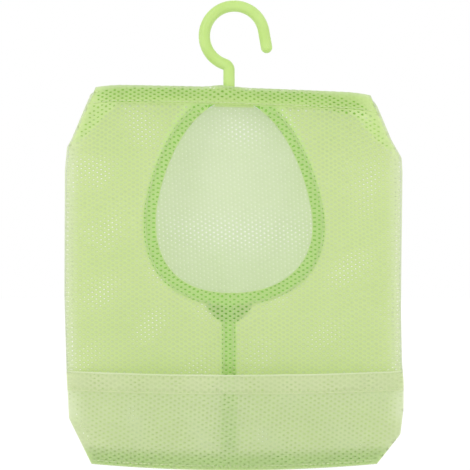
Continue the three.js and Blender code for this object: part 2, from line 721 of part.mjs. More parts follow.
addCloth("bottom_stitching", bottomStitchGeometry(), thread);

export default root;
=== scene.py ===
# %% [markdown]
# A hanging net storage bag.
# The real thing is a flat sack of open polyester net. A plastic bar in a sleeve along its top keeps it
# straight, and a plastic hook swivels on that bar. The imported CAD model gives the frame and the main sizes.
# Here each soft piece becomes net with real yarn and holes, in the same place. A sheet with a see-through
# pattern would be easier, but it has no thickness from the side and casts no shadow between its two layers.

import bpy
import numpy as np
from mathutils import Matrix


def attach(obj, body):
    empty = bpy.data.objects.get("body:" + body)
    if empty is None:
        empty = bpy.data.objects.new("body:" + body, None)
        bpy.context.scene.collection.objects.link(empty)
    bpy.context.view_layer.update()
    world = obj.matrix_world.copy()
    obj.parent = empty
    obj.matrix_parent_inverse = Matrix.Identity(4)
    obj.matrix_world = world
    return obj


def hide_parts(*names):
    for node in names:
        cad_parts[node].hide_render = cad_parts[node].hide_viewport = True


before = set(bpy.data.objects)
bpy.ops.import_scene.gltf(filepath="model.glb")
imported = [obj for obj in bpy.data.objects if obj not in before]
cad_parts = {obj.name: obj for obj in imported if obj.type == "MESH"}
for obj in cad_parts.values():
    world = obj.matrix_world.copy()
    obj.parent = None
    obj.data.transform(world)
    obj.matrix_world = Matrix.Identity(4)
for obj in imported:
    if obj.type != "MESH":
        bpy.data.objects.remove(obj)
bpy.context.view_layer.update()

# %% [markdown]
# The camera.
# The bag was photographed square on from about a metre, so its outline is hardly foreshortened. A long lens
# at that distance frames 362 mm where the bag hangs. A shorter lens closer by would show more of the side
# walls than the photograph does.

# %% Camera
VIEW_DISTANCE, FRAME_WIDTH, SENSOR_WIDTH = 1.0, 0.3619, 36.0
CAMERA_X, CAMERA_Z = 0.0006, -0.172

camera_data = bpy.data.cameras.new("front_camera")
camera_data.sensor_width = SENSOR_WIDTH
camera_data.lens = SENSOR_WIDTH * VIEW_DISTANCE / FRAME_WIDTH
camera = bpy.data.objects.new("front_camera", camera_data)
camera.location = (CAMERA_X, -VIEW_DISTANCE, CAMERA_Z)
camera.rotation_euler = (np.pi / 2, 0, 0)
bpy.context.collection.objects.link(camera)
bpy.context.scene.camera = camera
bpy.context.scene.view_settings.view_transform = "Standard"
print("lens, mm:", round(camera_data.lens, 1))

# %% [markdown]
# Colours and nodes.
# Colours are easiest to read as a picture's hex values, but shaders add up light, which needs linear ones.
# One function makes that change, and another adds a node, sets it and links it. The next two cells hold what
# the finishes share, so each material reads as a short list of what its surface does.

# %% Colour and node helpers
def linear(code):
    """A hex colour as linear red, green, blue and 1: the sRGB curve has a straight foot, then a power."""
    share = np.array([int(code[i:i + 2], 16) for i in (1, 3, 5)]) / 255
    curve = np.where(share <= 0.04045, share / 12.92, ((share + 0.055) / 1.055) ** 2.4)
    return (*curve.tolist(), 1.0)


def add_node(tree, kind, inputs=None, **settings):
    """Adds a node with its settings, then fills its inputs: a socket is linked, anything else is a value."""
    made = tree.nodes.new(kind)
    for name, value in settings.items():
        setattr(made, name, value)
    for name, value in (inputs or {}).items():
        if isinstance(value, bpy.types.NodeSocket):
            tree.links.new(value, made.inputs[name])
        else:
            made.inputs[name].default_value = value
    return made


print("mid grey #808080 is", round(linear("#808080")[0], 3), "in linear light")

# %% Noise and dye
MOST_NOISE = (0.3, 0.7)  # nearly all of a noise lies between these


def start_material(name):
    """An empty material, its node tree and its Object coordinates."""
    material = bpy.data.materials.new(name)
    material.use_nodes = True
    tree = material.node_tree
    tree.nodes.clear()
    return material, tree, add_node(tree, "ShaderNodeTexCoord").outputs["Object"]


def noise(tree, place, size, detail):
    """Noise with features of a size in mm, as Object coordinates are in metres."""
    inputs = {"Vector": place, "Scale": 1000 / size, "Detail": detail}
    return add_node(tree, "ShaderNodeTexNoise", inputs).outputs["Fac"]


def tint(tree, share, dark, light):
    """A colour that goes from dark to light over most of a noise."""
    made = add_node(tree, "ShaderNodeValToRGB", {"Fac": share})
    for element, position, code in zip(made.color_ramp.elements, MOST_NOISE, (dark, light)):
        element.position = position
        element.color = linear(code)
    return made.outputs["Color"]


def stored_colours(tree, faint):
    """The colour that a mesh stores on its points, its dye with any painted light or shade, times a faint
    tint.
    """
    dye_and_painted_light = add_node(tree, "ShaderNodeAttribute", attribute_name="dye_and_painted_light").outputs["Color"]
    # The Mix node's inputs 6 and 7 are its two colours, and output 2 is the mixed colour.
    colours = {0: 1.0, 6: dye_and_painted_light, 7: faint}
    return add_node(tree, "ShaderNodeMix", colours, data_type="RGBA", blend_type="MULTIPLY").outputs[2]


print("noise is read from", *MOST_NOISE)

# %% Relief and skin
def relief(tree, height, strength, depth):
    """Normals of a surface that a height from 0 to 1 raises by up to a depth in mm."""
    inputs = {"Height": height, "Strength": strength, "Distance": depth / 1000}
    return add_node(tree, "ShaderNodeBump", inputs).outputs["Normal"]


def skin(tree, colour, normal, roughness, more):
    """The shader of a surface, with the other inputs that its material needs."""
    inputs = {"Base Color": colour, "Normal": normal, "Roughness": roughness, **more}
    return add_node(tree, "ShaderNodeBsdfPrincipled", inputs).outputs["BSDF"]


def larger(tree, one, other):
    """The larger of two values."""
    return add_node(tree, "ShaderNodeMath", {0: one, 1: other}, operation="MAXIMUM").outputs["Value"]


def show(tree, shader):
    """Ends a material with its shader."""
    add_node(tree, "ShaderNodeOutputMaterial", {"Surface": shader})


print("helpers for finishes are ready")

# %% [markdown]
# Moulded polypropylene, for the hook and the bar.
# The hook is injection moulded in a pale lime plastic that lets a little light into itself. Its skin is
# smooth but not polished: a soft highlight, faint flow marks where the melt folded, and a grain so fine that
# it only spreads the highlight. A little subsurface light gives the waxy look, and noise at two sizes gives
# the marks, where one flat colour would look painted. The bar is painted a deeper shade of it, as painted
# shade for the inside of the closed sleeve, so the sleeve's holes look dark in front.

# %% Moulded polypropylene
def polypropylene(name, dark, light):
    """A moulded finish between two colours: flow marks 16 mm apart, duller where light, and a fine grain."""
    material, tree, place = start_material(name)
    flow = noise(tree, place, size=16, detail=3)
    grain = relief(tree, noise(tree, place, size=0.6, detail=2), strength=0.12, depth=0.06)
    low, high = MOST_NOISE
    gloss = {"Value": flow, "From Min": low, "From Max": high, "To Min": 0.34, "To Max": 0.44}
    roughness = add_node(tree, "ShaderNodeMapRange", gloss).outputs["Result"]
    waxy = {"Subsurface Weight": 0.2, "Subsurface Radius": (1.0, 1.0, 0.5), "Subsurface Scale": 0.002}
    show(tree, skin(tree, tint(tree, flow, dark, light), grain, roughness, {"IOR": 1.49, **waxy}))
    return material


plastic = polypropylene("moulded_polypropylene", "#BEDE7D", "#C7E58A")
# Painted shade: the bar's plastic is the hook's, painted darker for the inside of the closed sleeve.
bar_plastic_painted_shade = polypropylene("moulded_polypropylene_bar_painted_shade", "#9CCF58", "#A4D562")
print("made", plastic.name, "and", bar_plastic_painted_shade.name)

# %% [markdown]
# Polyester net yarn.
# The net is warp knitted from fine filament and heat set, so that its hexagons stay open. Yarn is so thin
# that nearly half of the light comes through it, coloured, which keeps the bag light where layers overlap.
# So a plain surface is mixed with a translucent one. The holes are not painted but in the mesh, and so is the
# colour of each point: its dye, with painted light and painted shade added where the net is lit or shaded.
# The pocket and the back are of paler lots than the front, the walls are painted paler as painted light, and
# the rims of holes differ from the ridges between them. The material only makes that colour a little uneven,
# and adds the ridges of the filaments.

# %% Polyester net yarn
THROUGH = 0.46  # share of the translucent surface
net_yarn, tree, place = start_material("polyester_net_yarn")
colour = stored_colours(tree, tint(tree, noise(tree, place, size=40, detail=2), "#FBFDF8", "#FFFFFF"))
# Single filaments are 0.02 mm, far too fine to show, so the ridges are drawn as bundles of 0.45 mm.
bundles = relief(tree, noise(tree, place, size=0.45, detail=2), strength=0.3, depth=0.1)
fuzz = {"IOR": 1.5, "Sheen Weight": 0.1, "Sheen Roughness": 0.5}
plain = skin(tree, colour, bundles, roughness=0.6, more=fuzz)
through = add_node(tree, "ShaderNodeBsdfTranslucent", {"Color": colour, "Normal": bundles}).outputs["BSDF"]
show(tree, add_node(tree, "ShaderNodeMixShader", {0: THROUGH, 1: plain, 2: through}).outputs["Shader"])
print("made", net_yarn.name, "with a share let through of", THROUGH)

# %% [markdown]
# Woven polyester tape.
# A close tape of the same green backs the opening, the centre seam and the bottom seam. Its colour is stored
# on its points too, painted a deeper green as painted shade for the folded layers there. It is woven flat, so
# it is matt, with fine ribs. Two crossing waves give them, on the tape's own UV map in millimetres, because
# the tape bends round the opening.

# %% Woven polyester tape
RIB = 0.9
tape_cloth, tree, place = start_material("woven_polyester_tape")
colour = stored_colours(tree, tint(tree, noise(tree, place, size=12, detail=2), "#F6FAF0", "#FFFFFF"))
weave_map = add_node(tree, "ShaderNodeUVMap", uv_map="weave").outputs["UV"]
# A wave's period is 2 pi / 20 of a unit at scale 1.
wave = {"Vector": weave_map, "Scale": 2 * np.pi / 20 / RIB}
ribs, weft = (add_node(tree, "ShaderNodeTexWave", wave, bands_direction=way).outputs["Fac"] for way in "XY")
woven = relief(tree, larger(tree, ribs, weft), strength=0.5, depth=0.15)
show(tree, skin(tree, colour, woven, roughness=0.8, more={"IOR": 1.5, "Sheen Weight": 0.1}))
print("made", tape_cloth.name, "with ribs of", RIB, "mm")

# %% [markdown]
# Polyester sewing thread.
# The seams are lock stitched in a spun thread, dyed to match. It is twisted from plies, so it is ridged, and
# shinier than the net. One noise as fine as the plies gives the ridges and their change of tone. A pattern
# that winds along each stitch would need a map for it, and is too fine to tell apart.

# %% Polyester sewing thread
sewing_thread, tree, place = start_material("polyester_sewing_thread")
ply = noise(tree, place, size=0.7, detail=1)
twist = relief(tree, ply, strength=0.4, depth=0.1)
colour = tint(tree, ply, "#D6E4AF", "#DEEBBB")
show(tree, skin(tree, colour, twist, roughness=0.5, more={"IOR": 1.5, "Sheen Weight": 0.2}))
print("made", sewing_thread.name)

# %% [markdown]
# From arrays to a piece.
# Every piece is worked out in millimetres as arrays of points and faces. Modifiers could build some of them,
# but arrays give exact places, and the same ones on every run. One function puts them into a mesh, and says
# which body the piece rides on, which finish it takes and which plain CAD solid it stands for. The object
# stays at the origin, with its place in its mesh.


def make_piece(name, points, faces, material, stands_for=None, body="bag", crease=None):
    """A mesh object from points in mm and faces, smooth but for edges sharper than the crease in degrees."""
    mesh = bpy.data.meshes.new(name)
    mesh.from_pydata((np.reshape(points, (-1, 3)) / 1000).tolist(), [], faces)
    mesh.polygons.foreach_set("use_smooth", np.ones(len(mesh.polygons), bool))
    if crease is not None:
        mesh.set_sharp_from_angle(angle=np.radians(crease))
    mesh.materials.append(material)
    piece = bpy.data.objects.new(name, mesh)
    bpy.context.collection.objects.link(piece)
    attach(piece, body)
    if stands_for is not None:
        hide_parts(stands_for)
    print(name, "has", len(mesh.vertices), "points and", len(mesh.polygons), "faces")
    return piece


# %% Rings and tubes
def joined(*parts):
    """Coordinates put together along a new last axis."""
    return np.stack(np.broadcast_arrays(*parts), axis=-1)


def around(sides):
    """Angles of the points of a ring."""
    return np.linspace(0, 2 * np.pi, sides, endpoint=False)


def tube_faces(tubes, rings, sides):
    """Faces of a row of tubes: four-cornered ones between neighbouring rings, and one over each end ring."""
    ring = np.arange(rings - 1)[:, None] * sides
    side = np.arange(sides)
    after = (side + 1) % sides
    corners = [ring + side, ring + after, ring + sides + after, ring + sides + side]
    quads = joined(*corners).reshape(-1, 4)
    caps = np.stack([side[::-1], (rings - 1) * sides + side])
    shift = np.arange(tubes)[:, None, None] * rings * sides
    return (quads + shift).reshape(-1, 4).tolist() + (caps + shift).reshape(-1, sides).tolist()


print("faces of a tube of 3 rings with 8 points each:", len(tube_faces(1, 3, 8)))

# %% [markdown]
# The hook.
# The hook is one moulded rod: a stem, a small bend back at the neck, a crown most of the way round a circle,
# and a straight end with a round tip. Below, a thinner journal passes through the bar to a head that snapped
# in. A curve with a round bevel would do for the rod alone. Rings of points along the centreline also let
# the radius change, and carry the fine raised line that the mould's two halves leave.

# %% Stem of the hook
ROD_R, CROWN_R, NECK_R, STEM_X = 4.3, 23.0, 5.0, -4.0
CROWN_Z = ROD_R - CROWN_R
NECK_X = STEM_X - NECK_R
NECK_Z = CROWN_Z - np.sqrt((CROWN_R + NECK_R) ** 2 - NECK_X ** 2)
STEM_RISE = 12.8
BAG_TOP = NECK_Z - STEM_RISE
SHOULDER_Z, HEAD_TOP = BAG_TOP - 2.049, BAG_TOP - 8.649
POINT_R, NECK_GAP = 0.05, 0.2
# Heights and radii: of the head and the journal, from the head's top, and of the stem, from its shoulder.
HEAD_PROFILE = [(-3.2, POINT_R), (-3.2, 2.7), (-0.8, 4.7), (0, 4.7), (0, 3)]
STEM_PROFILE = [(0, 3), (0, 3.9), (0.5, ROD_R), (3, ROD_R), (6, ROD_R)]


def stem_rings():
    """Heights and radii of the rings from the head's nose up the journal and the stem to the neck."""
    head = [(HEAD_TOP + z, radius) for z, radius in HEAD_PROFILE]
    stem = [(SHOULDER_Z + z, radius) for z, radius in STEM_PROFILE]
    return np.transpose(head + stem + [(NECK_Z - NECK_GAP, ROD_R)])


print("top of the bag, mm:", round(BAG_TOP, 1))

# %% Centreline of the hook
NECK_TURN = np.arctan2(CROWN_Z - NECK_Z, -NECK_X)
TIP_ANGLE, TIP_LENGTH = np.radians(10), 13.2
NECK_RINGS, CROWN_RINGS, END_RINGS, TIP_RINGS = 16, 110, 8, 12


def arc_line(x, z, radius, angles, turning):
    """Points on an upright circle, and the directions of travel along it: the radius turned by a quarter."""
    place = joined(x + radius * np.cos(angles), z + radius * np.sin(angles))
    ahead = turning * joined(-np.sin(angles), np.cos(angles))
    return place, ahead


def straight_line(start, ahead, lengths):
    """Points at lengths along a straight line, and the direction of travel at each."""
    place = start + np.reshape(lengths, (-1, 1)) * ahead
    return place, np.broadcast_to(ahead, place.shape)


def hook_line():
    """Centreline in x and z, direction and radius of every ring, from the head round to the tip."""
    stem_z, stem_r = stem_rings()
    stem = straight_line((STEM_X, 0), np.array([0, 1]), stem_z)
    neck = arc_line(NECK_X, NECK_Z, NECK_R, np.linspace(0, NECK_TURN, NECK_RINGS), 1)
    crown_angles = np.linspace(np.pi + NECK_TURN, TIP_ANGLE, CROWN_RINGS)[1:]
    crown = arc_line(0, CROWN_Z, CROWN_R, crown_angles, -1)
    round_off = np.linspace(0, np.pi / 2, TIP_RINGS)[1:]
    lengths = np.append(np.linspace(0, TIP_LENGTH, END_RINGS)[1:], TIP_LENGTH + ROD_R * np.sin(round_off))
    end = straight_line(crown[0][-1], np.array([np.sin(TIP_ANGLE), -np.cos(TIP_ANGLE)]), lengths)
    place, ahead = (np.concatenate(parts) for parts in zip(stem, neck, crown, end))
    radius = np.full(len(place), ROD_R)
    radius[:len(stem_r)] = stem_r
    radius[-len(round_off):] = np.maximum(ROD_R * np.cos(round_off), POINT_R)
    return place, ahead, radius


print("rings along the hook:", len(hook_line()[0]))

# %% Hook rod
RIDGE, RIDGE_SPREAD, RIDGED_R = 0.1, 0.1, 4.0  # the mould's line: height, half width as a sine, least radius


def bell(value, spread):
    """A bell curve: 1 at zero, falling away as the exponential of minus the square."""
    return np.exp(-((value / spread) ** 2))


def hook_points(sides=48):
    """Rings: the radius times cosine along the centreline's normal, plus the radius times sine along Y."""
    place, ahead, radius = hook_line()
    turn = around(sides)
    ridge = RIDGE * bell(np.sin(turn), RIDGE_SPREAD) * (radius > RIDGED_R)[:, None]
    reach = radius[:, None] + ridge
    x = place[:, :1] + reach * np.cos(turn) * ahead[:, 1:]
    z = place[:, 1:] - reach * np.cos(turn) * ahead[:, :1]
    return joined(x, reach * np.sin(turn), z)


hook_rings = hook_points()
hook_faces = tube_faces(1, *hook_rings.shape[:2])
make_piece("hook_rod", hook_rings, hook_faces, plastic, stands_for="hook", body="hook", crease=50)
print("hook height, mm:", np.round(np.ptp(hook_rings[..., 2]), 1))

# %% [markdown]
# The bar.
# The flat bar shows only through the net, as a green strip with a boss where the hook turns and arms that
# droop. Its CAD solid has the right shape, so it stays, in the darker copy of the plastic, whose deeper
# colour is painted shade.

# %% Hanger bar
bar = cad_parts["hanger_bar"]
bar.data.materials.clear()
bar.data.materials.append(bar_plastic_painted_shade)

# %% [markdown]
# The cut and the hang of the bag.
# The bag is cut with sloped corners. It hangs: the bar's right end is the lower one, the corners droop past
# its ends, the belly swells, and the bottom edge sags. These functions place the front for any x across and
# v up on the flat cut, so every net, tape and row of stitches laid on them shares its folds. Simulated cloth
# would fold alike, but it would lose the photograph's outline and stretch the net.

# %% Outline of the cloth
# Each outline is a list of drops below the top edge and half widths there.
LEFT_OUTLINE = [
    (0, 106), (41, 123), (47, 126.3), (65, 127.8), (160, 127.8), (215, 126.2), (252, 124.3), (286, 107.5)
]
RIGHT_OUTLINE = [
    (0, 104.3), (34, 118.8), (47, 126.4), (58, 127), (120, 126), (170, 125.4), (210, 126.1), (225, 127.4),
    (245, 127.4), (264, 125), (286, 107.5)
]


def half_width(x, z):
    """Half the width at a level, on the side of x: straight lines between the corners of its outline."""
    left, right = (np.interp(-z, *np.transpose(outline)) for outline in (LEFT_OUTLINE, RIGHT_OUTLINE))
    return np.where(x < 0, left, right)


def across(x, z):
    """How far out a point is, 0 in the middle and 1 or -1 at the side seams."""
    return np.clip(x / half_width(x, z), -1, 1)


print("half widths 15 cm down, mm:", float(half_width(-1, -150)), float(half_width(1, -150)))

# %% Depth of the cloth
BAG_HEIGHT = 286.0
SLEEVE_HEIGHT, SLEEVE_FOOT, SLEEVE_ARCH = 14.5, 9.0, 4.0
SLEEVE_BOTTOM = -SLEEVE_HEIGHT
BELLY_HALF, BELLY_Z, PILLOW = 22.0, -204.5, 5.0
BOTTOM_SAG, SAG_REACH = 4.8, 60.0
FOLDS = [(0.65, 55, 0.22), (0.35, 31, -0.35)]  # height, length and slant of each wave


def ramp(low, high, value):
    """A straight rise from 0 at low to 1 at high, and level past them."""
    return np.clip((value - low) / (high - low), 0, 1)


def edge_depth(z):
    """Half the depth at the side seams: a quarter of a sine wave from the sleeve's foot down to the belly."""
    share = ramp(SLEEVE_BOTTOM, BELLY_Z, z)
    return SLEEVE_FOOT + (BELLY_HALF - SLEEVE_FOOT) * np.sin(share * np.pi / 2)


def swell(z):
    """How far a panel is free to move, 0 at its top and bottom and 1 halfway: half a sine wave."""
    return np.sin(np.pi * ramp(SLEEVE_BOTTOM, -BAG_HEIGHT, z))


def folds(x, z, phase):
    """Soft hanging folds, at most about 1 mm: slanting sine waves that fade to the seams."""
    total = 0
    for n, (tall, long, slant) in enumerate(FOLDS, 1):
        total = total + tall * np.sin(2 * np.pi * (x + slant * z) / long + n * phase)
    return total * swell(z) * (1 - across(x, z) ** 4)


def panel_depth(x, z, phase=0.0):
    """Distance of a panel from the middle plane: edge depth, a pillow fullest in the middle, and folds."""
    return edge_depth(z) + PILLOW * swell(z) * (1 - across(x, z) ** 2) + folds(x, z, phase)


def sag(x, z):
    """How far a level hangs down: most in the middle of the bottom edge, none above the reach."""
    fade = np.clip(1 - (BAG_HEIGHT + z) / SAG_REACH, 0, None)
    return BOTTOM_SAG * fade * (1 - across(x, z) ** 2)


print("belly depth, mm:", round(2 * float(panel_depth(0.0, -150.0)), 1))

# %% [markdown]
# The sleeve and the drop.
# At the top the cloth goes up over the bar and down behind it: in section a slanting wall, half an ellipse
# and another wall, wider round the bar's boss. The front function runs on into it, so the net passes over
# the fold unbroken. The hang function drops everything with the tilted bar.

# %% Section of the sleeve
ARM_HALF, BOSS_SWELL, BOSS_SPREAD = 4.3, 4.7, 14.0
NET_MIDDLE = 0.4
WALL_RISE = SLEEVE_HEIGHT - SLEEVE_ARCH


def arch_half(x):
    """Half depth of the fold over the bar: that of the arms, swelling round the boss by a bell curve."""
    return ARM_HALF + BOSS_SWELL * bell(x - STEM_X, BOSS_SPREAD)


def sleeve_lengths(x):
    """Lengths of the sleeve's wall and of a quarter of its fold, as a quarter ellipse."""
    wall = np.hypot(SLEEVE_FOOT - arch_half(x), WALL_RISE)
    quarter = np.pi / 2 * np.sqrt((arch_half(x) ** 2 + SLEEVE_ARCH ** 2) / 2)
    return wall, quarter


def sleeve_section(x, t, inwards=NET_MIDDLE):
    """Place y, z at a length t up the front wall, over the fold and down the back wall."""
    wall, quarter = sleeve_lengths(x)
    middle = wall + quarter
    near = np.minimum(t, 2 * middle - t)
    up = ramp(0, wall, near)
    angle = ramp(wall, middle, near) * np.pi / 2
    half = SLEEVE_FOOT + (arch_half(x) - SLEEVE_FOOT) * up
    y = (half - inwards) * np.cos(angle)
    z = SLEEVE_BOTTOM + WALL_RISE * up + (SLEEVE_ARCH - inwards) * np.sin(angle)
    return np.where(t < middle, -y, y), z


print("fold over the boss, mm:", 2 * round(float(arch_half(STEM_X)), 1), "deep")

# %% Hang of the cloth
BAR_STRAIGHT, SLEEVE_REACH = 84.5, 107.0
TILT, TILT_FULL, TILT_END = np.radians(1.8), -60.0, -205.0
BAR_BOW, END_DROOP = 0.7, 2.0
CREST, CREST_X, CREST_SPREAD = 1.5, STEM_X - 4, 10.0
BACK_PHASE = 2.1  # so that the back has folds of its own


def smooth_step(low, high, value):
    """0 at low, 1 at high, and the cubic 3 t squared - 2 t cubed between."""
    t = ramp(low, high, value)
    return t * t * (3 - 2 * t)


def hang(x, y, z):
    """Points as they hang: lowered by the bar's tilt, its slight bow and the drooping ends past it, fading
    out down the bag, and raised to a small crest where the fold bunches up round the stem."""
    past = ramp(BAR_STRAIGHT, SLEEVE_REACH, np.abs(x))
    drop = np.tan(TILT) * (x - STEM_X) + BAR_BOW * (x / BAR_STRAIGHT) ** 2 + END_DROOP * past ** 2
    crest = CREST * bell(x - CREST_X, CREST_SPREAD) * smooth_step(SLEEVE_BOTTOM, 0, z)
    level = BAG_TOP + z + crest - smooth_step(TILT_END, TILT_FULL, z) * drop
    return joined(x, y, level)


def front_cloth(x, v, inwards=NET_MIDDLE):
    """The front at x and v: the front panel below the sleeve's foot, and the sleeve's section above it."""
    sleeve_y, sleeve_z = sleeve_section(x, np.maximum(v - SLEEVE_BOTTOM, 0), inwards)
    on_sleeve = v > SLEEVE_BOTTOM
    y = np.where(on_sleeve, sleeve_y, inwards - panel_depth(x, v))
    return hang(x, y, np.where(on_sleeve, sleeve_z, v - sag(x, v)))


def back_cloth(x, v, inwards=NET_MIDDLE):
    """The back at x and v."""
    return hang(x, panel_depth(x, v, BACK_PHASE) - inwards, v - sag(x, v))


print("top edge, mm:", np.round(front_cloth(np.array([-100.0, 0.0, 100.0]), 0.0)[:, 2], 1))

# %% [markdown]
# One net from hexagons.
# The hexagons stand in columns, 3.5 mm apart, every second column half a step higher. Each cell is a frame
# of yarn round a hole: its six corners form a ridge that it shares with its neighbours, and the rim of its
# hole is lower, so six small faces a cell are enough. The yarn is a surface and not a tube, because light
# passes through it only once. Cells are numbered in whole steps, so shared corners are found with one call
# and not with a search. Corners outside the cut, and those of its outermost cells, are moved on to its edge.
# Where cloth is sewn or gathered, the holes are drawn shut.

# %% Cells and cuts
NET_PITCH = 3.53
NET_ACROSS = NET_PITCH * np.sqrt(3) / 2
EDGE, EDGE_REACH = 0.35, 2.8  # least way from a cell's middle to the cut's edge, and most for its corners
CORNER_STEPS = np.array([[2, 0], [1, 1], [-1, 1], [-2, 0], [-1, -1], [1, -1]])
STEP_SIZE = np.array([NET_ACROSS / 3, NET_PITCH / 2])
COLUMNS, ROWS = np.arange(-59, 59), np.arange(-91, 17)  # enough for every cut, turned or not


def turned(places, angle):
    """Whole-number places as mm on the cut, with the field of hexagons turned by an angle in degrees."""
    sine, cosine = np.sin(np.radians(angle)), np.cos(np.radians(angle))
    return places * STEP_SIZE @ np.array([[cosine, sine], [-sine, cosine]])


def hexagon_corners(keep, angle):
    """Whole-number places of the six corners of every cell whose middle is kept, as an (n, 6, 2) array."""
    column, row = (grid.ravel() for grid in np.meshgrid(COLUMNS, ROWS, indexing="ij"))
    middle = joined(3 * column, 2 * row + column % 2)
    return middle[keep(*turned(middle, angle).T)][:, None, :] + CORNER_STEPS


def to_edge(value, low, high, reach):
    """Values past a limit, or within reach of it, moved on to it."""
    value = np.where(value < low + reach, low, value)
    return np.where(value > high - reach, high, value)


def cut(bottom, top, half):
    """A flat cut between two levels, with a half width for a side and a level, as two functions: one keeps
    cells and one fits corners. The top may be a function of x."""
    high = top if callable(top) else lambda x: top

    def keep(x, v):
        """Middles of cells inside all the edges."""
        return (v > bottom + EDGE) & (v < high(x) - EDGE) & (np.abs(x) < half(x, v) - EDGE)

    def fit(x, v, reach):
        """Corners moved on to the levels, and then to the width there."""
        v = to_edge(v, bottom, high(x), reach)
        return joined(to_edge(x, -half(-1, v), half(1, v), reach), v)

    return keep, fit


panel_cut = cut(-BAG_HEIGHT, SLEEVE_BOTTOM, half_width)
print("cells of a whole panel:", len(hexagon_corners(panel_cut[0], 0)))

# %% Dyes and painted light
# Painted light: the nets are painted paler towards the side seams, where they turn away and catch light from
# the sides.
SIDE_PAINTED_LIGHT, SIDE_SHARE, SIDE_BAND, SIDE_TOP = "#EAF1D4", 0.8, (0.9, 1.0), (-20, -60)


def store_point_colours(piece, colours):
    """Stores the linear colour of each point, its dye with any painted light or shade, for the material to
    read; one colour serves all.
    """
    colours = np.broadcast_to(np.float32(colours), (len(piece.data.vertices), 4))
    attribute = piece.data.attributes.new("dye_and_painted_light", "FLOAT_COLOR", "POINT")
    attribute.data.foreach_set("color", colours.ravel())


def blend(colours, code, share):
    """Colours mixed with a share of another, given for each point."""
    return colours + (np.array(linear(code)) - colours) * np.reshape(share, (-1, 1))


def side_painted_light(colours, x, v):
    """Painted light: paler towards the side seams, where the net turns away and catches light from the sides,
    but not in the sloped top corners.
    """
    side = smooth_step(*SIDE_BAND, np.abs(across(x, v))) * smooth_step(*SIDE_TOP, v)
    return blend(colours, SIDE_PAINTED_LIGHT, SIDE_SHARE * side)


print("dye along the side seams:", SIDE_PAINTED_LIGHT)

# %% Yarn on the cloth
YARN_HALF = 0.2
UNEVEN, UNEVEN_WAVES = 0.15, ((1.7, 2.3), (2.9, -1.3))


def uneven(flat):
    """The small unevenness of a knitted net: each corner moved a little, by waves that do not repeat soon."""
    u, v = flat.T
    return flat + UNEVEN * joined(*(np.sin(a * u + b * v) for a, b in UNEVEN_WAVES))


def unit(vectors):
    """Vectors scaled to a length of one."""
    return vectors / np.linalg.norm(vectors, axis=-1, keepdims=True)


def off_cloth(cloth, flat, lift, step=0.2):
    """Points on a cloth function, moved along its normal: the cross product of its slopes across and up."""
    u, v = flat.T
    along = cloth(u + step, v) - cloth(u - step, v)
    upwards = cloth(u, v + step) - cloth(u, v - step)
    return cloth(u, v) + lift * unit(np.cross(along, upwards))


print("height of the ridges over the rims, mm:", 2 * YARN_HALF)

# %% Net builder
FULL_HOLE = (0.52, 0.31)  # its share of the cell, across and up
FRONT_LOT = ("#E0EEB3", "#D6E6A7")  # colours of a lot of yarn: on its ridges, and at the rims of its holes
KEY_STEP = 100003  # more than any row's number, so that each place has a number of its own
BAKE_INSET = 0.01


def store_map(piece, name, places, faces):
    """Stores a UV map: each corner of a face takes the place of its point."""
    layer = piece.data.uv_layers.new(name=name)
    layer.data.foreach_set("uv", places[faces].astype(np.float32).ravel())


def make_net(name, stands_for, shape, cloth, hole=FULL_HOLE, lot=FRONT_LOT, angle=0, dye_and_painted_light=None, shut=None):
    """A net over a cut, fitted to its edges and laid on a cloth function, and its area of yarn. The function
    for the dye and painted light changes the lot's colours, adding painted light and shade, and shut gives
    the share by which each hole is drawn shut."""
    keep, fit = shape
    places = hexagon_corners(keep, angle)
    whole = places[..., 0] * KEY_STEP + places[..., 1]
    _, first, cell, shared = np.unique(whole, return_index=True, return_inverse=True, return_counts=True)
    cell = cell.reshape(-1, 6)
    # Three cells share a corner inside the net. Fewer share one that lies beside a cell that was left out.
    reach = np.where(shared < 3, EDGE_REACH, 0)
    flat = fit(*uneven(turned(places.reshape(-1, 2)[first], angle)).T, reach)
    middle = flat[cell].mean(axis=1, keepdims=True)
    size = np.broadcast_to(hole, middle.shape)
    if shut is not None:
        size = size * (1 - shut(middle[..., 0], middle[..., 1]))[..., None]
    rim_flat = (middle + (flat[cell] - middle) * size).reshape(-1, 2)
    points = np.concatenate([off_cloth(cloth, flat, YARN_HALF), off_cloth(cloth, rim_flat, -YARN_HALF)])
    rim = len(flat) + np.arange(cell.size).reshape(-1, 6)
    corners = [cell, np.roll(cell, -1, axis=1), np.roll(rim, -1, axis=1), rim]
    faces = joined(*corners).reshape(-1, 4)
    piece = make_piece(name, points, faces.tolist(), net_yarn, stands_for)
    spot = np.concatenate([flat, rim_flat])
    on_ridge = np.arange(len(points))[:, None] < len(flat)
    colours = np.where(on_ridge, linear(lot[0]), linear(lot[1]))
    store_point_colours(piece, dye_and_painted_light(colours, *spot.T) if dye_and_painted_light is not None else colours)
    # The flat cut gives the UV map for baking the finish into a picture.
    share = (spot - spot.min(axis=0)) / np.ptp(spot, axis=0) * (1 - 2 * BAKE_INSET) + BAKE_INSET
    store_map(piece, "OFBake", share, faces)
    yarn_area = float((1 - size.prod(axis=-1)).sum()) * NET_PITCH * NET_ACROSS / 1e6
    print(name, "has", round(yarn_area, 5), "square m of yarn")
    return piece, yarn_area


print("cover of the net:", round(1 - np.prod(FULL_HOLE), 2))

# %% [markdown]
# The front of the bag.
# Two halves of net meet in a seam under the stem, with an egg-shaped hand opening cut from both. Both keep
# cells of one field of hexagons, so the net runs across the seam as in the photograph. Corners inside the
# opening are moved out to its edge along a line from its middle, while a boolean cut would leave ragged
# cells.

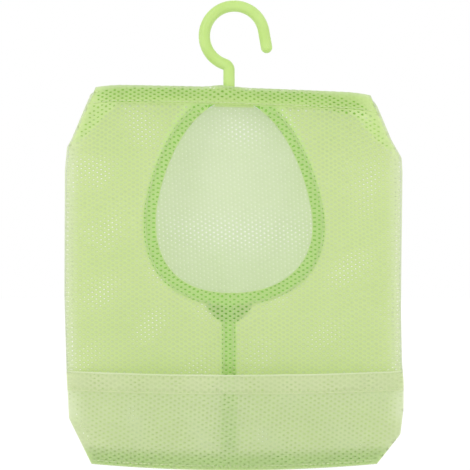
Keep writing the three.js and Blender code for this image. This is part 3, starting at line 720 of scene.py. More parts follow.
# %% Hand opening
OPENING_Z, OPENING_R = -103.3, 58.9
OPENING_RISE, OPENING_FALL, OPENING_LEAN = 92.0, 53.9, 2.7
UPPER_POWER, LOWER_POWER = 1.29, 0.87
TINY = 1e-6  # keeps a division off zero


def opening_point(grown, angle):
    """Places on the egg, grown outwards, at angles from level on the right. Above: the half width times the
    cosine, and the rise times the sine to a power over 1, for straighter sides than an ellipse's. Below: both
    to a power under 1, for fuller ones, moved left by the lean times the fall's share squared."""
    cosine, sine = np.cos(angle), np.sin(angle)
    up = np.maximum(sine, 0) ** UPPER_POWER
    down = np.maximum(-sine, 0) ** LOWER_POWER
    over = np.where(sine > 0, cosine, np.sign(cosine) * np.abs(cosine) ** LOWER_POWER)
    x = (OPENING_R + grown) * over - OPENING_LEAN * down ** 2
    return x, OPENING_Z + (OPENING_RISE + grown) * up - (OPENING_FALL + grown) * down


def opening_share(x, v):
    """How far out of the egg's middle a place is, 1 on its edge: the egg's formula solved for its size."""
    up = np.maximum(v - OPENING_Z, 0) / OPENING_RISE
    down = np.maximum(OPENING_Z - v, 0) / OPENING_FALL
    over = np.abs(x + OPENING_LEAN * down ** 2) / OPENING_R
    upper = np.sqrt(over ** 2 + up ** (2 / UPPER_POWER))
    lower = (over ** (2 / LOWER_POWER) + down ** (2 / LOWER_POWER)) ** (LOWER_POWER / 2)
    return np.maximum(np.where(v > OPENING_Z, upper, lower), TINY)


def to_opening(x, v, steps=4):
    """Places moved on to the egg's edge along lines from its middle, in a few ever closer steps."""
    for _ in range(steps):
        share = opening_share(x, v)
        x, v = x / share, OPENING_Z + (v - OPENING_Z) / share
    return x, v


print("opening, mm:", 2 * OPENING_R, "wide")

# %% Cut of a half
def half_cut(side):
    """The cut of one half of the front, -1 for the left and 1 for the right."""
    keep_panel, fit_panel = panel_cut

    def keep(x, v):
        """Middles of cells in the panel, outside the egg, on this side of the seam."""
        outside = opening_share(x, v) > 1 + EDGE / OPENING_R
        return keep_panel(x, v) & outside & (side * (x - STEM_X) >= 0)

    def fit(x, v, reach):
        """Corners fitted to the panel, and moved on to the egg's edge if they are near it."""
        x, v = fit_panel(x, v, reach).T
        near = (opening_share(x, v) < 1 + reach / OPENING_R) & (v < SLEEVE_BOTTOM)
        edge_x, edge_v = to_opening(x, v)
        return joined(np.where(near, edge_x, x), np.where(near, np.minimum(edge_v, SLEEVE_BOTTOM), v))

    return keep, fit


print("cells of the halves:", [len(hexagon_corners(half_cut(side)[0], 0)) for side in (-1, 1)])

# %% Front halves
HEM_WIDTH = 9.6
CORNER_FOOT, CORNER_WIDTH, CORNER_INSET = -48.0, 21.0, 2.4
# Painted light: the front is painted brighter over the turned-in corners, the hems and the centre strip,
# where the layers behind hold light back. Painted shade: it is painted deeper along the foot.
CORNER_AND_END_PAINTED_LIGHT, HEM_AND_STRIP_PAINTED_LIGHT, DEEP_PAINTED_SHADE = "#F2FFC6", "#DDF4AB", "#D3ECA0"
SLOPE_TOP, SLOPE_BOTTOM, SLOPE_BAND = (-56, -46), (-235, -245), (5, 3)
HEM_BAND, CENTRE_BAND = (HEM_WIDTH + 1, HEM_WIDTH - 1), (7, 5)
FOOT_BAND = (16 - BAG_HEIGHT, 6 - BAG_HEIGHT)
CORNER_BAND, CORNER_FADE = (-3, 2), (CORNER_FOOT, CORNER_FOOT + 10)
SEWN_SHUT = 0.8
CORNER_SHARE, HEM_SHARE, FOOT_SHARE = 0.65, 0.7, 0.6


def corner_limits(x, v):
    """Inner and outer limit of the turned-in cloth: the wedge widens with height up to the sleeve's foot."""
    outer = half_width(x, v) - CORNER_INSET
    return outer - CORNER_WIDTH * ramp(CORNER_FOOT, SLEEVE_BOTTOM, v), outer


def front_shut(x, v):
    """Holes drawn shut along the sloped seams, which are overlocked, and open again within 5 mm."""
    slope = smooth_step(*SLOPE_TOP, v) + smooth_step(*SLOPE_BOTTOM, v)
    return SEWN_SHUT * (smooth_step(*SLOPE_BAND, half_width(x, v) - np.abs(x)) * slope)


def front_painted_light_and_shade(colours, x, v):
    """The side's painted light, plus painted light over hem, centre strip and turned-in corners, and painted
    shade along the foot.
    """
    hem = smooth_step(*HEM_BAND, (opening_share(x, v) - 1) * OPENING_R)
    hem = np.maximum(hem, smooth_step(*CENTRE_BAND, np.abs(x - STEM_X)) * (v < OPENING_Z))
    corner = smooth_step(*CORNER_BAND, np.abs(x) - corner_limits(x, v)[0]) * smooth_step(*CORNER_FADE, v)
    edged = blend(side_painted_light(colours, x, v), CORNER_AND_END_PAINTED_LIGHT, CORNER_SHARE * corner)
    hemmed = blend(edged, HEM_AND_STRIP_PAINTED_LIGHT, HEM_SHARE * hem)
    return blend(hemmed, DEEP_PAINTED_SHADE, FOOT_SHARE * smooth_step(*FOOT_BAND, v))


front_left, left_area = make_net(
    "front_left_net", "front_left_panel", half_cut(-1), front_cloth, dye_and_painted_light=front_painted_light_and_shade, shut=front_shut
)
front_right, right_area = make_net(
    "front_right_net", "front_right_panel", half_cut(1), front_cloth, dye_and_painted_light=front_painted_light_and_shade, shut=front_shut
)

# %% [markdown]
# The sleeve.
# The sleeve carries the same field on over the bar, so its v runs up the front wall, over the fold and down
# the back. Cells where the stem comes through are left out, and the corners round them are moved on to a
# circle just wider than the stem.

# %% Cut of the sleeve
STEM_HOLE = 5.2


def sleeve_top(x):
    """The v of the middle of the fold."""
    return SLEEVE_BOTTOM + sum(sleeve_lengths(x))


def far_foot(x):
    """The v of the sleeve's foot at the back."""
    return 2 * sleeve_top(x) - SLEEVE_BOTTOM


def sleeve_level(x, v):
    """The height that v reaches on the sleeve."""
    return sleeve_section(x, v - SLEEVE_BOTTOM)[1]


def sleeve_end(x, v):
    """The width limit of the sleeve at x and v: the outline's half width at the height that v reaches."""
    return half_width(x, sleeve_level(x, v))


keep_band, fit_band = cut(SLEEVE_BOTTOM, far_foot, sleeve_end)


def in_sleeve(x, v):
    """Cells of the sleeve that are not in the stem's hole."""
    return keep_band(x, v) & (np.hypot(x - STEM_X, v - sleeve_top(x)) > STEM_HOLE)


def fit_sleeve(x, v, reach):
    """Corners moved to the ends and to both feet, and out of the stem's hole."""
    x, v = fit_band(x, v, reach).T
    top = sleeve_top(x)
    grow = np.maximum(STEM_HOLE / np.maximum(np.hypot(x - STEM_X, v - top), TINY), 1)
    return joined(STEM_X + (x - STEM_X) * grow, top + (v - top) * grow)


print("length over the bar, mm:", round(float(far_foot(60.0) - SLEEVE_BOTTOM), 1))

# %% Sleeve net
# Painted light: the top of the sleeve's fold is painted paler, where light falls on it; the same pale colour
# is painted on the pocket's sides and its mouth.
SLEEVE_LOT, PALE_PAINTED_LIGHT = ("#DAEEA8", "#D2E79C"), "#F5FAE2"
BAR_TOP, BAR_HEIGHT, BAR_MIDDLE_X, BAR_HALF = -2.35, 11.0, -1.5, 104.0
ARM_STRAIGHT, ARM_REACH, ARM_MOST = 45.0, 53.5, 1.1
LEFT_DROOP, RIGHT_DROOP = 2.5, 7.0
ABOVE_BAND, ARM_BAND, END_BAND = (0, 2), (60, 75), (BAR_HALF - 2, BAR_HALF + 1)
FEET_BAND, OPENING_BAND = (5, 2.5), (62, 50)
# Painted light: the sleeve's ends are painted brighter.
SLEEVE_SHUT, BRIGHT_END, BRIGHT_END_BAND, FOLD_SHARE, FOLD_BAND = 0.75, 0.35, (88, 106), 0.5, (-4.5, -0.5)


def bar_top(x):
    """Level of the bar's top edge: straight, then falling by the square of the way along the arm."""
    out = np.clip((np.abs(x - BAR_MIDDLE_X) - ARM_STRAIGHT) / ARM_REACH, 0, ARM_MOST)
    return BAR_TOP - np.where(x < BAR_MIDDLE_X, LEFT_DROOP, RIGHT_DROOP) * out ** 2


def sleeve_shut(x, v):
    """Holes drawn shut above the drooping arms and past their ends, where cloth is folded in, and along the
    feet over the opening, which are sewn."""
    above = smooth_step(*ABOVE_BAND, sleeve_level(x, v) - bar_top(x)) * smooth_step(*ARM_BAND, np.abs(x))
    ends = smooth_step(*END_BAND, np.abs(x - BAR_MIDDLE_X))
    feet = smooth_step(*FEET_BAND, np.minimum(v - SLEEVE_BOTTOM, far_foot(x) - v))
    over_opening = smooth_step(*OPENING_BAND, np.abs(x))
    return SLEEVE_SHUT * np.maximum(np.maximum(above, ends), feet * over_opening)


def sleeve_painted_light(colours, x, v):
    """Painted light: brighter towards the ends, and paler along the top of the fold, where the light falls on
    it.
    """
    ends = blend(colours, CORNER_AND_END_PAINTED_LIGHT, BRIGHT_END * smooth_step(*BRIGHT_END_BAND, np.abs(x)))
    return blend(ends, PALE_PAINTED_LIGHT, FOLD_SHARE * smooth_step(*FOLD_BAND, sleeve_level(x, v)))


sleeve_cut = (in_sleeve, fit_sleeve)
sleeve_look = {"lot": SLEEVE_LOT, "dye_and_painted_light": sleeve_painted_light, "shut": sleeve_shut}
sleeve_net, sleeve_area = make_net("sleeve_net", "bar_sleeve", sleeve_cut, front_cloth, **sleeve_look)

# %% [markdown]
# The turned-in corners.
# Each sloped corner is cut with cloth to spare, turned in behind the front and caught in the seams. The
# photograph shows it as a wedge of deeper green with dots, wide at the sleeve and running out down the slope.
# It is one more layer of net, just inside the front, painted a deeper green as painted shade for the shade
# between the layers. Painted colour on the front alone would give its colour, but not its dots.

# %% Corner nets
SMALL_HOLE = (0.34, 0.2)
# Painted shade: the turned-in nets are painted a deeper green than the front, more so on the left.
LEFT_CORNER_SHADED_LOT, RIGHT_CORNER_SHADED_LOT = ("#C2E284", "#BADB78"), ("#CDE994", "#C6E48A")
CORNER_IN = 1.3
BAR_OVERLAP, CORNER_GAP = 1.0, 0.5


def corner_cloth(x, v):
    """The front, moved inwards."""
    return front_cloth(x, v, CORNER_IN)


def corner_top(x):
    """The turned-in cloth stops at the sleeve's foot, or under the bar where that hangs lower."""
    at_bar = np.abs(x - BAR_MIDDLE_X) < BAR_HALF - BAR_OVERLAP
    under_bar = np.where(at_bar, bar_top(x) - BAR_HEIGHT + BAR_OVERLAP, 0)
    return np.minimum(SLEEVE_BOTTOM, under_bar) - CORNER_GAP


def corner_cut(side):
    """The cut of the wedge on one side."""

    def keep(x, v):
        """Middles of cells between the levels and between the limits."""
        inner, outer = corner_limits(x, v)
        level = (v > CORNER_FOOT + EDGE) & (v < corner_top(x) - EDGE)
        return level & (side * x > inner + EDGE) & (side * x < outer - EDGE)

    def fit(x, v, reach):
        """Corners moved on to the levels, and then to the limits there."""
        v = to_edge(v, CORNER_FOOT, corner_top(x), reach)
        return joined(side * to_edge(side * x, *corner_limits(x, v), reach), v)

    return keep, fit


left_look, right_look = (
    {"hole": SMALL_HOLE, "lot": lot, "angle": 12} for lot in (LEFT_CORNER_SHADED_LOT, RIGHT_CORNER_SHADED_LOT)
)
left_corner, _ = make_net("left_corner_turning", None, corner_cut(-1), corner_cloth, **left_look)
right_corner, _ = make_net("right_corner_turning", None, corner_cut(1), corner_cloth, **right_look)

# %% [markdown]
# The back, the sides and the bottom.
# The back is one whole panel. Narrow walls join it to the front down each side and across the bottom, so the
# bag stands open by about 5 cm. Each has its own field of hexagons on its own flat cut: the sides across and
# up, the bottom across and back. So no hexagon is stretched round a corner.

# %% Back net
BACK_LOT = ("#D6E4BD", "#E4ECD2")
# Each slack place has its x and v, its spreads across and up, and its height.
SLACK_SPOTS = [
    (0, -112, 72, 14, 0.75), (6, -33, 15, 10, 0.75), (-76, -169, 32, 20, 1), (98, -103, 28, 22, 1),
    (-88, -85, 20, 24, 1)
]
TAUT_DYE, TAUT_SHARE, TAUT_BAND = "#DAE6C2", 0.75, (1.15, 1)
ALL_SHUT, TAUT_SHUT, CORNER_SHUT, LOW_SHUT = 0.2, 0.4, 0.8, 0.5
BACK_CORNER_X, BACK_CORNER_BAND, BACK_CORNER_FADE, LOW_BAND = -8, (78, 88), (-62, -45), (-150, -175)


def slack(x, v):
    """How slack the back hangs, 0 to 1: bell curves round a few places."""
    total = 0
    for spot_x, spot_v, wide, high, tall in SLACK_SPOTS:
        total = total + tall * bell(x - spot_x, wide) * bell(v - spot_v, high)
    return np.clip(total, 0, 1)


def taut(x, v):
    """How taut the back is behind the opening, 0 to 1, where nothing lies in front of it."""
    return (1 - slack(x, v)) * smooth_step(*TAUT_BAND, opening_share(x, v))


def back_shut(x, v):
    """Holes drawn a little shut where the cloth isn't slack, more where it is taut behind the opening or
    carries the load low down, and most in the top corners, where it is gathered."""
    firm = 1 - slack(x, v)
    corner = smooth_step(*BACK_CORNER_BAND, np.abs(x - BACK_CORNER_X)) * smooth_step(*BACK_CORNER_FADE, v)
    low = firm * smooth_step(*LOW_BAND, v)
    gathered = np.maximum(CORNER_SHUT * corner, LOW_SHUT * low)
    return np.maximum(ALL_SHUT * firm + TAUT_SHUT * taut(x, v), gathered)


def back_dye_and_painted_light(colours, x, v):
    """The side's painted light, with rims that hardly stand out where the cloth is taut."""
    return blend(side_painted_light(colours, x, v), TAUT_DYE, TAUT_SHARE * taut(x, v))


back_look = {"hole": SMALL_HOLE, "lot": BACK_LOT, "angle": 2.8, "dye_and_painted_light": back_dye_and_painted_light, "shut": back_shut}
back_net, back_area = make_net("back_net", "back_panel", panel_cut, back_cloth, **back_look)

# %% Side nets
# Painted light: the side walls are painted paler than the front.
SIDE_LOT_PAINTED_LIGHT = ("#F0F5DC", "#F0F5DC")
SIDE_BULGE = 2.5
WALL_INSET, WALL_FOOT = 1.1, 1 - BAG_HEIGHT


def wall_half(z):
    """Half the width of a side wall, just inside the front and the back; it closes the sleeve's end too."""
    in_sleeve_end = SLEEVE_FOOT + (ARM_HALF - SLEEVE_FOOT) * ramp(SLEEVE_BOTTOM, -SLEEVE_ARCH, z)
    return np.where(z > SLEEVE_BOTTOM, in_sleeve_end, edge_depth(z)) - WALL_INSET


def wall_cloth(side):
    """The cloth function of one side wall."""

    def wall(y, v):
        """Out by the outline's half width, plus a bulge that falls with the square of y to both seams."""
        out = half_width(side, v) - NET_MIDDLE + SIDE_BULGE * (1 - (y / wall_half(v)) ** 2)
        return hang(side * out, y, v)

    return wall


wall_cut = cut(WALL_FOOT, -SLEEVE_ARCH, lambda side, v: wall_half(v))
left_side, side_area = make_net("left_side_net", "left_side_panel", wall_cut, wall_cloth(-1), lot=SIDE_LOT_PAINTED_LIGHT)
right_side, _ = make_net("right_side_net", "right_side_panel", wall_cut, wall_cloth(1), lot=SIDE_LOT_PAINTED_LIGHT)

# %% Bottom net
BOTTOM_HALF = 107.5
BOTTOM_DEPTH = BELLY_HALF - WALL_INSET


def bottom_cloth(x, y):
    """The bottom: level across, and sagging in the middle as the front and the back do."""
    return hang(x, y, NET_MIDDLE - BAG_HEIGHT - sag(x, -BAG_HEIGHT))


bottom_cut = cut(-BOTTOM_DEPTH, BOTTOM_DEPTH, lambda side, y: BOTTOM_HALF)
bottom_net, bottom_area = make_net("bottom_net", "bottom_panel", bottom_cut, bottom_cloth)

# %% [markdown]
# The pocket.
# A second panel lies over the lowest quarter of the front, sewn down at its sides and bottom. Its mouth
# gapes a little and dips in the middle. It is turned over to the front as a hem of 14 mm, where the double
# net looks denser and paler. Both are nets on the front function, moved outwards by the gape, so they meet
# the front at the seams.

# %% Pocket net and hem
POCKET_HOLE = (0.45, 0.26)
POCKET_LOT, HEM_LOT = ("#E8F0CD", "#E2EBC5"), ("#EEF4D3", "#E8EFCB")
POCKET_HEIGHT, POCKET_GAPE, POCKET_HEM, POCKET_DIP = 69.3, 11.0, 14.0, 1.5
POCKET_TOP = POCKET_HEIGHT - BAG_HEIGHT
POCKET_OUT, HEM_OUT = 0.7, 1.4
# Shares of painted shade over the centre strip and of painted light towards the pocket's sides.
POCKET_CENTRE, POCKET_SIDES, POCKET_SIDE_BAND, POCKET_SIDE_FOOT = 0.25, 0.8, (0.88, 1), (-258, -245)


def pocket_cloth(x, v, outwards=POCKET_OUT):
    """The front moved outwards by a gape that grows to the middle of the mouth, which also dips there."""
    open_share = (1 - across(x, v) ** 2) * (v + BAG_HEIGHT) / POCKET_HEIGHT
    y = -panel_depth(x, v) - outwards - POCKET_GAPE * open_share
    return hang(x, y, v - sag(x, v) - POCKET_DIP * open_share)


def pocket_hem_cloth(x, v):
    """The hem, just in front of the pocket."""
    return pocket_cloth(x, v, HEM_OUT)


def pocket_painted_light_and_shade(colours, x, v):
    """Painted light paler towards the sides, and painted shade deeper over the strips along the bottom and
    the centre seam.
    """
    foot = FOOT_SHARE * smooth_step(*FOOT_BAND, v)
    centre = POCKET_CENTRE * smooth_step(*CENTRE_BAND, np.abs(x - STEM_X))
    sides = smooth_step(*POCKET_SIDE_BAND, np.abs(across(x, v))) * smooth_step(*POCKET_SIDE_FOOT, v)
    return blend(blend(colours, PALE_PAINTED_LIGHT, POCKET_SIDES * sides), DEEP_PAINTED_SHADE, np.maximum(foot, centre))


pocket_cut = cut(-BAG_HEIGHT, POCKET_TOP, half_width)
pocket_look = {"hole": POCKET_HOLE, "lot": POCKET_LOT, "angle": -4, "dye_and_painted_light": pocket_painted_light_and_shade, "shut": front_shut}
pocket_net, pocket_area = make_net("pocket_net", "pocket_panel", pocket_cut, pocket_cloth, **pocket_look)
hem_cut = cut(POCKET_TOP - POCKET_HEM, POCKET_TOP, half_width)
hem_look = {"lot": HEM_LOT, "angle": 3}
pocket_hem, hem_area = make_net("pocket_hem_net", "pocket_hem", hem_cut, pocket_hem_cloth, **hem_look)

# %% [markdown]
# The tapes behind the net.
# Round and under the opening, down the centre seam and along the bottom, a close tape backs the net, so those
# lines look darker and their holes show green; the tape's deeper green is painted shade. Each is a grid of
# two parameters, along and across, laid on the front function a little further in, with a second grid behind
# it for its thickness. A modifier could thicken it too, but here both sides follow the folds exactly.

# %% Tape builder
TAPE_FRONT, TAPE_BACK = 1.1, 1.7
# Painted shade: the tapes are painted a deeper green than the net.
TAPE_PAINTED_SHADE = "#9ED462"


def slab_faces(rows, columns):
    """Faces of a thin slab: the grid in front, the same grid reversed behind, and a strip round the edge."""
    index = np.arange(rows * columns).reshape(rows, columns)
    corners = [index[:-1, :-1], index[:-1, 1:], index[1:, 1:], index[1:, :-1]]
    front = joined(*corners).reshape(-1, 4)
    back = front[:, ::-1] + rows * columns
    edge = np.concatenate([index[0, :-1], index[:-1, -1], index[-1, :0:-1], index[:0:-1, 0]])
    after = np.roll(edge, -1)
    rim = joined(edge, edge + rows * columns, after + rows * columns, after)
    return np.concatenate([front, back, rim])


def run_length(line):
    """Length along a line up to each of its points."""
    return np.concatenate([[0], np.cumsum(np.linalg.norm(np.diff(line, axis=0), axis=1))])


def make_tape(name, stands_for, x, v, dye_and_painted_light=linear(TAPE_PAINTED_SHADE)):
    """A tape laid on the front over grids of x and v, with a UV map in mm along its rows and columns."""
    sheets = [front_cloth(x, v, inwards).reshape(-1, 3) for inwards in (TAPE_FRONT, TAPE_BACK)]
    points = np.concatenate(sheets)
    faces = slab_faces(*x.shape)
    start, *ends = points[faces[0, :3]]
    if np.cross(*(ends - start))[1] > 0:
        faces = faces[:, ::-1]  # so that the grid in front faces the front
    piece = make_piece(name, points, faces.tolist(), tape_cloth, stands_for, crease=50)
    store_point_colours(piece, dye_and_painted_light)
    flat = joined(x, v)
    grid = np.meshgrid(run_length(flat[:, 0]), run_length(flat[0]), indexing="ij")
    store_map(piece, "weave", np.tile(joined(*grid).reshape(-1, 2), (2, 1)), faces)
    return piece


print("tape thickness, mm:", round(TAPE_BACK - TAPE_FRONT, 2))

# %% Opening hems and patch
# Painted shade: the patch is painted deeper still.
PATCH_PAINTED_SHADE = "#7ABC38"
GAP, SEAM_GAP = 0.3, 0.15
PATCH_DROP, PATCH_TOP_HALF, PATCH_BOTTOM_HALF, PATCH_POWER = 12.0, 17.5, 6.5, 1.5
HEM_FOOT = OPENING_Z - OPENING_FALL - HEM_WIDTH
PATCH_BOTTOM = HEM_FOOT - PATCH_DROP
PATCH_ARC = (1.2 * np.pi, 1.8 * np.pi)  # angles of the opening's foot


def hem_grid(side, grown, steps):
    """Grids of x and v round half of the opening: angles from the sleeve's foot to the centre seam, and a
    column for each distance grown outwards."""
    grown = np.reshape(grown, (1, -1))
    up = (SLEEVE_BOTTOM - GAP - OPENING_Z) / (OPENING_RISE + grown)
    top = np.arcsin(up ** (1 / UPPER_POWER))
    over = (STEM_X + side * SEAM_GAP + OPENING_LEAN) / (OPENING_R + grown)
    seam = np.arccos(np.sign(over) * np.abs(over) ** (1 / LOWER_POWER))
    start, stop = (top, -seam) if side > 0 else (np.pi - top, 2 * np.pi - seam)
    return opening_point(grown, start + (stop - start) * np.linspace(0, 1, steps)[:, None])


def patch_grid(rows=8, columns=14):
    """Grids over the patch: from an arc just under the hem down to a level edge, narrowing ever faster."""
    down, over = np.meshgrid(np.linspace(0, 1, rows), np.linspace(-1, 1, columns), indexing="ij")
    x = STEM_X + over * (PATCH_TOP_HALF + (PATCH_BOTTOM_HALF - PATCH_TOP_HALF) * down ** PATCH_POWER)
    arc = np.interp(x, *opening_point(HEM_WIDTH + GAP, np.linspace(*PATCH_ARC, 200)))
    return x, arc + (PATCH_BOTTOM - arc) * down


hem_columns = np.linspace(0, HEM_WIDTH, 6)
left_hem = make_tape("left_hem_tape", "left_opening_hem", *hem_grid(-1, hem_columns, 120))
right_hem = make_tape("right_hem_tape", "right_opening_hem", *hem_grid(1, hem_columns, 120))
patch = make_tape("patch_tape", "opening_patch", *patch_grid(), linear(PATCH_PAINTED_SHADE))

# %% Centre strip and bottom strip
CENTRE_HALF, BOTTOM_TAPE_TOP, SHADE_FADE = 5.3, 13.1 - BAG_HEIGHT, 8
# Painted shade: the bottom strip is painted deeper, fading to a paler colour towards its top.
STRIP_PAINTED_SHADE, STRIP_SHADE_FADED = "#96D35A", "#DDEDB6"


def bottom_grid(rows=6, columns=90):
    """Grids over the bottom strip, between the side walls."""
    levels = np.linspace(BOTTOM_TAPE_TOP, WALL_INSET - BAG_HEIGHT, rows)
    v, over = np.meshgrid(levels, np.linspace(-1, 1, columns), indexing="ij")
    return over * (half_width(over, v) - WALL_INSET), v


centre_x = np.linspace(STEM_X - CENTRE_HALF, STEM_X + CENTRE_HALF, 5)
centre_v = np.linspace(PATCH_BOTTOM - GAP, BOTTOM_TAPE_TOP + GAP, 40)
centre_strip = make_tape("centre_tape", "centre_seam_strip", *np.meshgrid(centre_x, centre_v))
strip_x, strip_v = bottom_grid()
# Painted shade: the strip is painted deeper, fading out towards its top edge.
fade = np.tile(smooth_step(BOTTOM_TAPE_TOP - SHADE_FADE, BOTTOM_TAPE_TOP, strip_v).ravel(), 2)
strip_shade = blend(np.broadcast_to(linear(STRIP_PAINTED_SHADE), (fade.size, 4)), STRIP_SHADE_FADED, fade)
bottom_strip = make_tape("bottom_tape", "bottom_seam_strip", strip_x, strip_v, strip_shade)

# %% [markdown]
# Rolled edges.
# Where panels meet, and round the opening, cut edges are overlocked: threads draw the edge into a thin roll.
# It is a tube along the edge whose radius rises and falls in a slant, so that it looks wrapped. It also
# covers the last row of hexagons. The fold of the pocket's mouth is made likewise.

# %% Roll builder
ROLL_STEP, ROLL_PITCH, ROLL_SWELL = 0.34, 1.9, 0.1
ROLL_DYE = "#EEF2E6"


def walk(line, at):
    """Places at lengths along a line."""
    return np.stack([np.interp(at, run_length(line), column) for column in line.T], axis=-1)


def rings_round(middle, outward, reach, lift=0.0):
    """Rings round a line: a lift and the reach times cosine along the outward normal, and the reach times
    sine beside it."""
    ahead = unit(np.gradient(middle, axis=-2))
    outward = np.broadcast_to(outward, middle.shape)
    normal = unit(outward - (outward * ahead).sum(axis=-1, keepdims=True) * ahead)
    turn = around(reach.shape[-1])
    out = (lift + reach * np.cos(turn))[..., None] * normal[..., None, :]
    beside = (reach * np.sin(turn))[..., None] * np.cross(ahead, normal)[..., None, :]
    return middle[..., None, :] + out + beside


def make_roll(name, line, outward, radius, dye_and_painted_light=ROLL_DYE, sides=8):
    """A tube along a line: radius times 1 plus a swell that turns once round it in every pitch of length."""
    total = run_length(line)[-1]
    at = np.linspace(0, total, int(total / ROLL_STEP) + 2)
    reach = radius * (1 + ROLL_SWELL * np.cos(2 * np.pi * at[:, None] / ROLL_PITCH + around(sides)))
    rings = rings_round(walk(line, at), outward, reach)
    piece = make_piece(name, rings, tube_faces(1, len(at), sides), net_yarn)
    store_point_colours(piece, linear(dye_and_painted_light))
    return piece


print("wraps in 10 mm of edge:", round(10 / ROLL_PITCH, 1))

# %% Seam rolls
TO_LEFT, TO_RIGHT, TO_FRONT, TO_BACK = (-1, 0, 0), (1, 0, 0), (0, -1, 0), (0, 1, 0)
SEAM_R, SEAM_INSET, SEAM_IN = 0.5, 0.4, 0.7
FRONT_FOOT_IN, BACK_FOOT_IN = 0.3, 0.5
SLEEVE_END_X = 110.0


def side_seam_line(side, steps=240, end_steps=60):
    """Up the front edge, over the sleeve's end and down the back edge, just inside the outline."""
    up = np.linspace(-BAG_HEIGHT, SLEEVE_BOTTOM, steps)
    edge = side * (half_width(side, up) - SEAM_INSET)
    over = np.linspace(SLEEVE_BOTTOM, far_foot(SLEEVE_END_X), end_steps)[1:-1]
    end = front_cloth(side * (sleeve_end(side * SLEEVE_END_X, over) - SEAM_INSET), over, SEAM_IN)
    return np.concatenate([front_cloth(edge, up, SEAM_IN), end, back_cloth(edge, up, SEAM_IN)[::-1]])


left_seam = make_roll("left_seam_roll", side_seam_line(-1), TO_LEFT, SEAM_R)
right_seam = make_roll("right_seam_roll", side_seam_line(1), TO_RIGHT, SEAM_R)
foot_x = np.linspace(-BOTTOM_HALF, BOTTOM_HALF, 200)
front_foot = make_roll("bottom_front_roll", front_cloth(foot_x, -BAG_HEIGHT, FRONT_FOOT_IN), TO_FRONT, SEAM_R)
back_foot = make_roll("bottom_back_roll", back_cloth(foot_x, -BAG_HEIGHT, BACK_FOOT_IN), TO_BACK, SEAM_R)
print("side seam, mm:", round(float(run_length(side_seam_line(1))[-1]), 1))

# %% Rolled edge of the hand opening and of the pocket's mouth
LIP_R, LIP_GROWN, LIP_IN = 0.4, 0.2, 0.9
MOUTH_R, MOUTH_INSET, MOUTH_OUT = 0.65, 0.6, 1.05


def opening_line(side, grown, inwards, steps=160):
    """A line round the opening, from the sleeve's foot to the centre seam."""
    x, v = hem_grid(side, grown, steps)
    return front_cloth(x[:, 0], v[:, 0], inwards)


left_lip = make_roll("left_opening_roll", opening_line(-1, LIP_GROWN, LIP_IN), TO_FRONT, LIP_R)
right_lip = make_roll("right_opening_roll", opening_line(1, LIP_GROWN, LIP_IN), TO_FRONT, LIP_R)
mouth_left, mouth_right = MOUTH_INSET - half_width(-1, POCKET_TOP), half_width(1, POCKET_TOP) - MOUTH_INSET
mouth_line = pocket_cloth(np.linspace(mouth_left, mouth_right, 240), POCKET_TOP, MOUTH_OUT)
# Painted light: the mouth's fold is painted pale along it.
mouth_fold = make_roll("pocket_mouth_fold", mouth_line, TO_FRONT, MOUTH_R, PALE_PAINTED_LIGHT)
print("pocket mouth, mm:", round(float(mouth_right - mouth_left), 1))

# %% [markdown]
# Stitching.
# Rows of lock stitches hold the sleeve, the hems, the centre seam, the pocket and the bottom. A stitch comes
# up out of the cloth, lies on it and goes down again, so each is a small tube whose height is part of a sine
# wave. A whole row is made at once, as one array of stitches, rings and points. One stitch repeated along a
# curve would be bent where the curve turns.

# %% Stitch builder
STITCH_PITCH, STITCH_LENGTH, STITCH_START = 3.2, 2.6, 0.1
THREAD_R, STITCH_RISE, STITCH_THIN = 0.3, 2.2, 0.55


def make_stitches(name, line, outward=TO_FRONT, rings=6, sides=6):
    """Tubes every pitch along a line, lifted off the cloth by a sine and thinned by its root at both ends."""
    count = int(run_length(line)[-1] / STITCH_PITCH)
    share = np.linspace(0, 1, rings)
    at = (np.arange(count)[:, None] + STITCH_START) * STITCH_PITCH + share * STITCH_LENGTH
    arch = np.sin(np.pi * share)[:, None]
    reach = np.repeat(THREAD_R * (STITCH_THIN + (1 - STITCH_THIN) * arch ** 0.5), sides, axis=1)
    points = rings_round(walk(line, at), outward, reach, THREAD_R * (STITCH_RISE * arch - 1))
    faces = tube_faces(count, rings, sides)
    return make_piece(f"{name}_stitches", points, faces, sewing_thread, f"{name}_stitching")


print("stitches in 10 cm:", int(100 / STITCH_PITCH))

# %% Rows of stitches
STITCH_INSET, CENTRE_ROW, ON_CLOTH = 1.5, 3.6, -0.1
ROW_HALVES = (108, 124, 107)  # of the rows on the sleeve, the pocket's hem and the foot
HEM_PART = slice(4, -8)  # leaves off the ends at the sleeve and at the centre seam
HEM_ROW_OUT, FOOT_ROW_OUT = 1.9, 1.2


def hem_row(side):
    """Along the outer part of the hem, from below the sleeve to the centre seam."""
    return opening_line(side, HEM_WIDTH - STITCH_INSET, ON_CLOTH)[HEM_PART]


def centre_row(side):
    """Beside the centre seam, from the hem down to the pocket's mouth."""
    v = np.linspace(HEM_FOOT, POCKET_TOP + STITCH_INSET, 40)
    return front_cloth(STEM_X + side * CENTRE_ROW, v, ON_CLOTH)


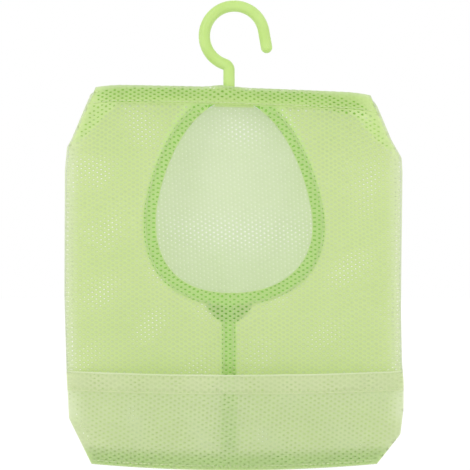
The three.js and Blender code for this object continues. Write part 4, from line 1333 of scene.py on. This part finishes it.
sleeve_x, hem_x, bottom_x = (np.linspace(-half, half, 200) for half in ROW_HALVES)
left_hem_row = make_stitches("left_hem", hem_row(-1))
right_hem_row = make_stitches("right_hem", hem_row(1))
left_centre_row = make_stitches("centre_left", centre_row(-1))
right_centre_row = make_stitches("centre_right", centre_row(1))
sleeve_row = make_stitches("sleeve_front", front_cloth(sleeve_x, SLEEVE_BOTTOM + STITCH_INSET, ON_CLOTH))
sleeve_back_line = front_cloth(sleeve_x, far_foot(sleeve_x) - STITCH_INSET, ON_CLOTH)
sleeve_back_row = make_stitches("sleeve_back", sleeve_back_line, TO_BACK)
hem_level = POCKET_TOP - POCKET_HEM + STITCH_INSET
pocket_row = make_stitches("pocket_hem", pocket_cloth(hem_x, hem_level, HEM_ROW_OUT))
bottom_row = make_stitches("bottom", pocket_cloth(bottom_x, 2 * STITCH_INSET - BAG_HEIGHT, FOOT_ROW_OUT))

# %% [markdown]
# What the cloth was cut from.
# Each net's area counts only yarn: the number of cells, times the area of one, times its share of yarn.

print("each net's area of yarn is printed where it is made")

# %% [markdown]
# Light and floor.
# The photograph has even studio light and a white ground. A white world gives most of the light, and two
# large soft lamps shape the rods and yarns a little. Rays that look for what lies behind see plain white.
# The floor is far below, as the bag hangs, and white too. It glows a little to those rays, so it runs into
# the background while a shadow still shows.

# %% World
WORLD_LIGHT = 0.9


def looked_at(tree):
    """1 on rays that look for what lies behind, from the camera, mirrored or through a cloth, else 0."""
    ray = add_node(tree, "ShaderNodeLightPath").outputs
    seen = larger(tree, ray["Is Camera Ray"], ray["Is Glossy Ray"])
    return larger(tree, seen, ray["Is Transmission Ray"])


world = bpy.data.worlds.new("studio")
bpy.context.scene.world = world
world.use_nodes = True
tree = world.node_tree
tree.nodes.clear()
lit, white = (
    add_node(tree, "ShaderNodeBackground", {"Color": linear("#FFFFFF"), "Strength": strength})
    for strength in (WORLD_LIGHT, 1)
)
both = {0: looked_at(tree), 1: lit.outputs["Background"], 2: white.outputs["Background"]}
chosen = add_node(tree, "ShaderNodeMixShader", both).outputs["Shader"]
add_node(tree, "ShaderNodeOutputWorld", {"Surface": chosen})
print("world light:", WORLD_LIGHT)

# %% Lamps
BAG_MIDDLE = np.array([0, 0, -0.2])


def add_lamp(name, location, size, watts):
    """A square soft lamp at a place, turned to look at the bag's middle."""
    data = bpy.data.lights.new(name, "AREA")
    data.size = size
    data.energy = watts
    lamp = bpy.data.objects.new(name, data)
    lamp.location = location
    away = np.array(location) - BAG_MIDDLE
    steep = np.arccos(away[2] / np.linalg.norm(away))
    lamp.rotation_euler = (steep, 0, np.arctan2(away[1], away[0]) + np.pi / 2)
    bpy.context.collection.objects.link(lamp)


add_lamp("key_lamp", (-0.9, -1.3, 0.7), size=0.9, watts=5)
add_lamp("fill_lamp", (1.2, -1.1, -0.1), size=1.0, watts=2.5)
print("lamps:", [lamp.name for lamp in bpy.data.lights])

# %% Floor
FLOOR_Z, FLOOR_HALF = -0.42, 4
floor_paint, tree, _ = start_material("white_studio_floor")
matt = add_node(tree, "ShaderNodeBsdfDiffuse", {"Color": linear("#F2F2F2")}).outputs["BSDF"]
glow = add_node(tree, "ShaderNodeEmission", {"Color": linear("#868686"), "Strength": looked_at(tree)})
show(tree, add_node(tree, "ShaderNodeAddShader", {0: matt, 1: glow.outputs["Emission"]}).outputs["Shader"])
floor_mesh = bpy.data.meshes.new("studio_floor")
corners = [(FLOOR_HALF * x, FLOOR_HALF * y, FLOOR_Z) for x, y in ((-1, -1), (1, -1), (1, 1), (-1, 1))]
floor_mesh.from_pydata(corners, [], [(0, 1, 2, 3)])
floor_mesh.materials.append(floor_paint)
floor = bpy.data.objects.new("studio_floor", floor_mesh)
bpy.context.collection.objects.link(floor)
print("floor at", FLOOR_Z)
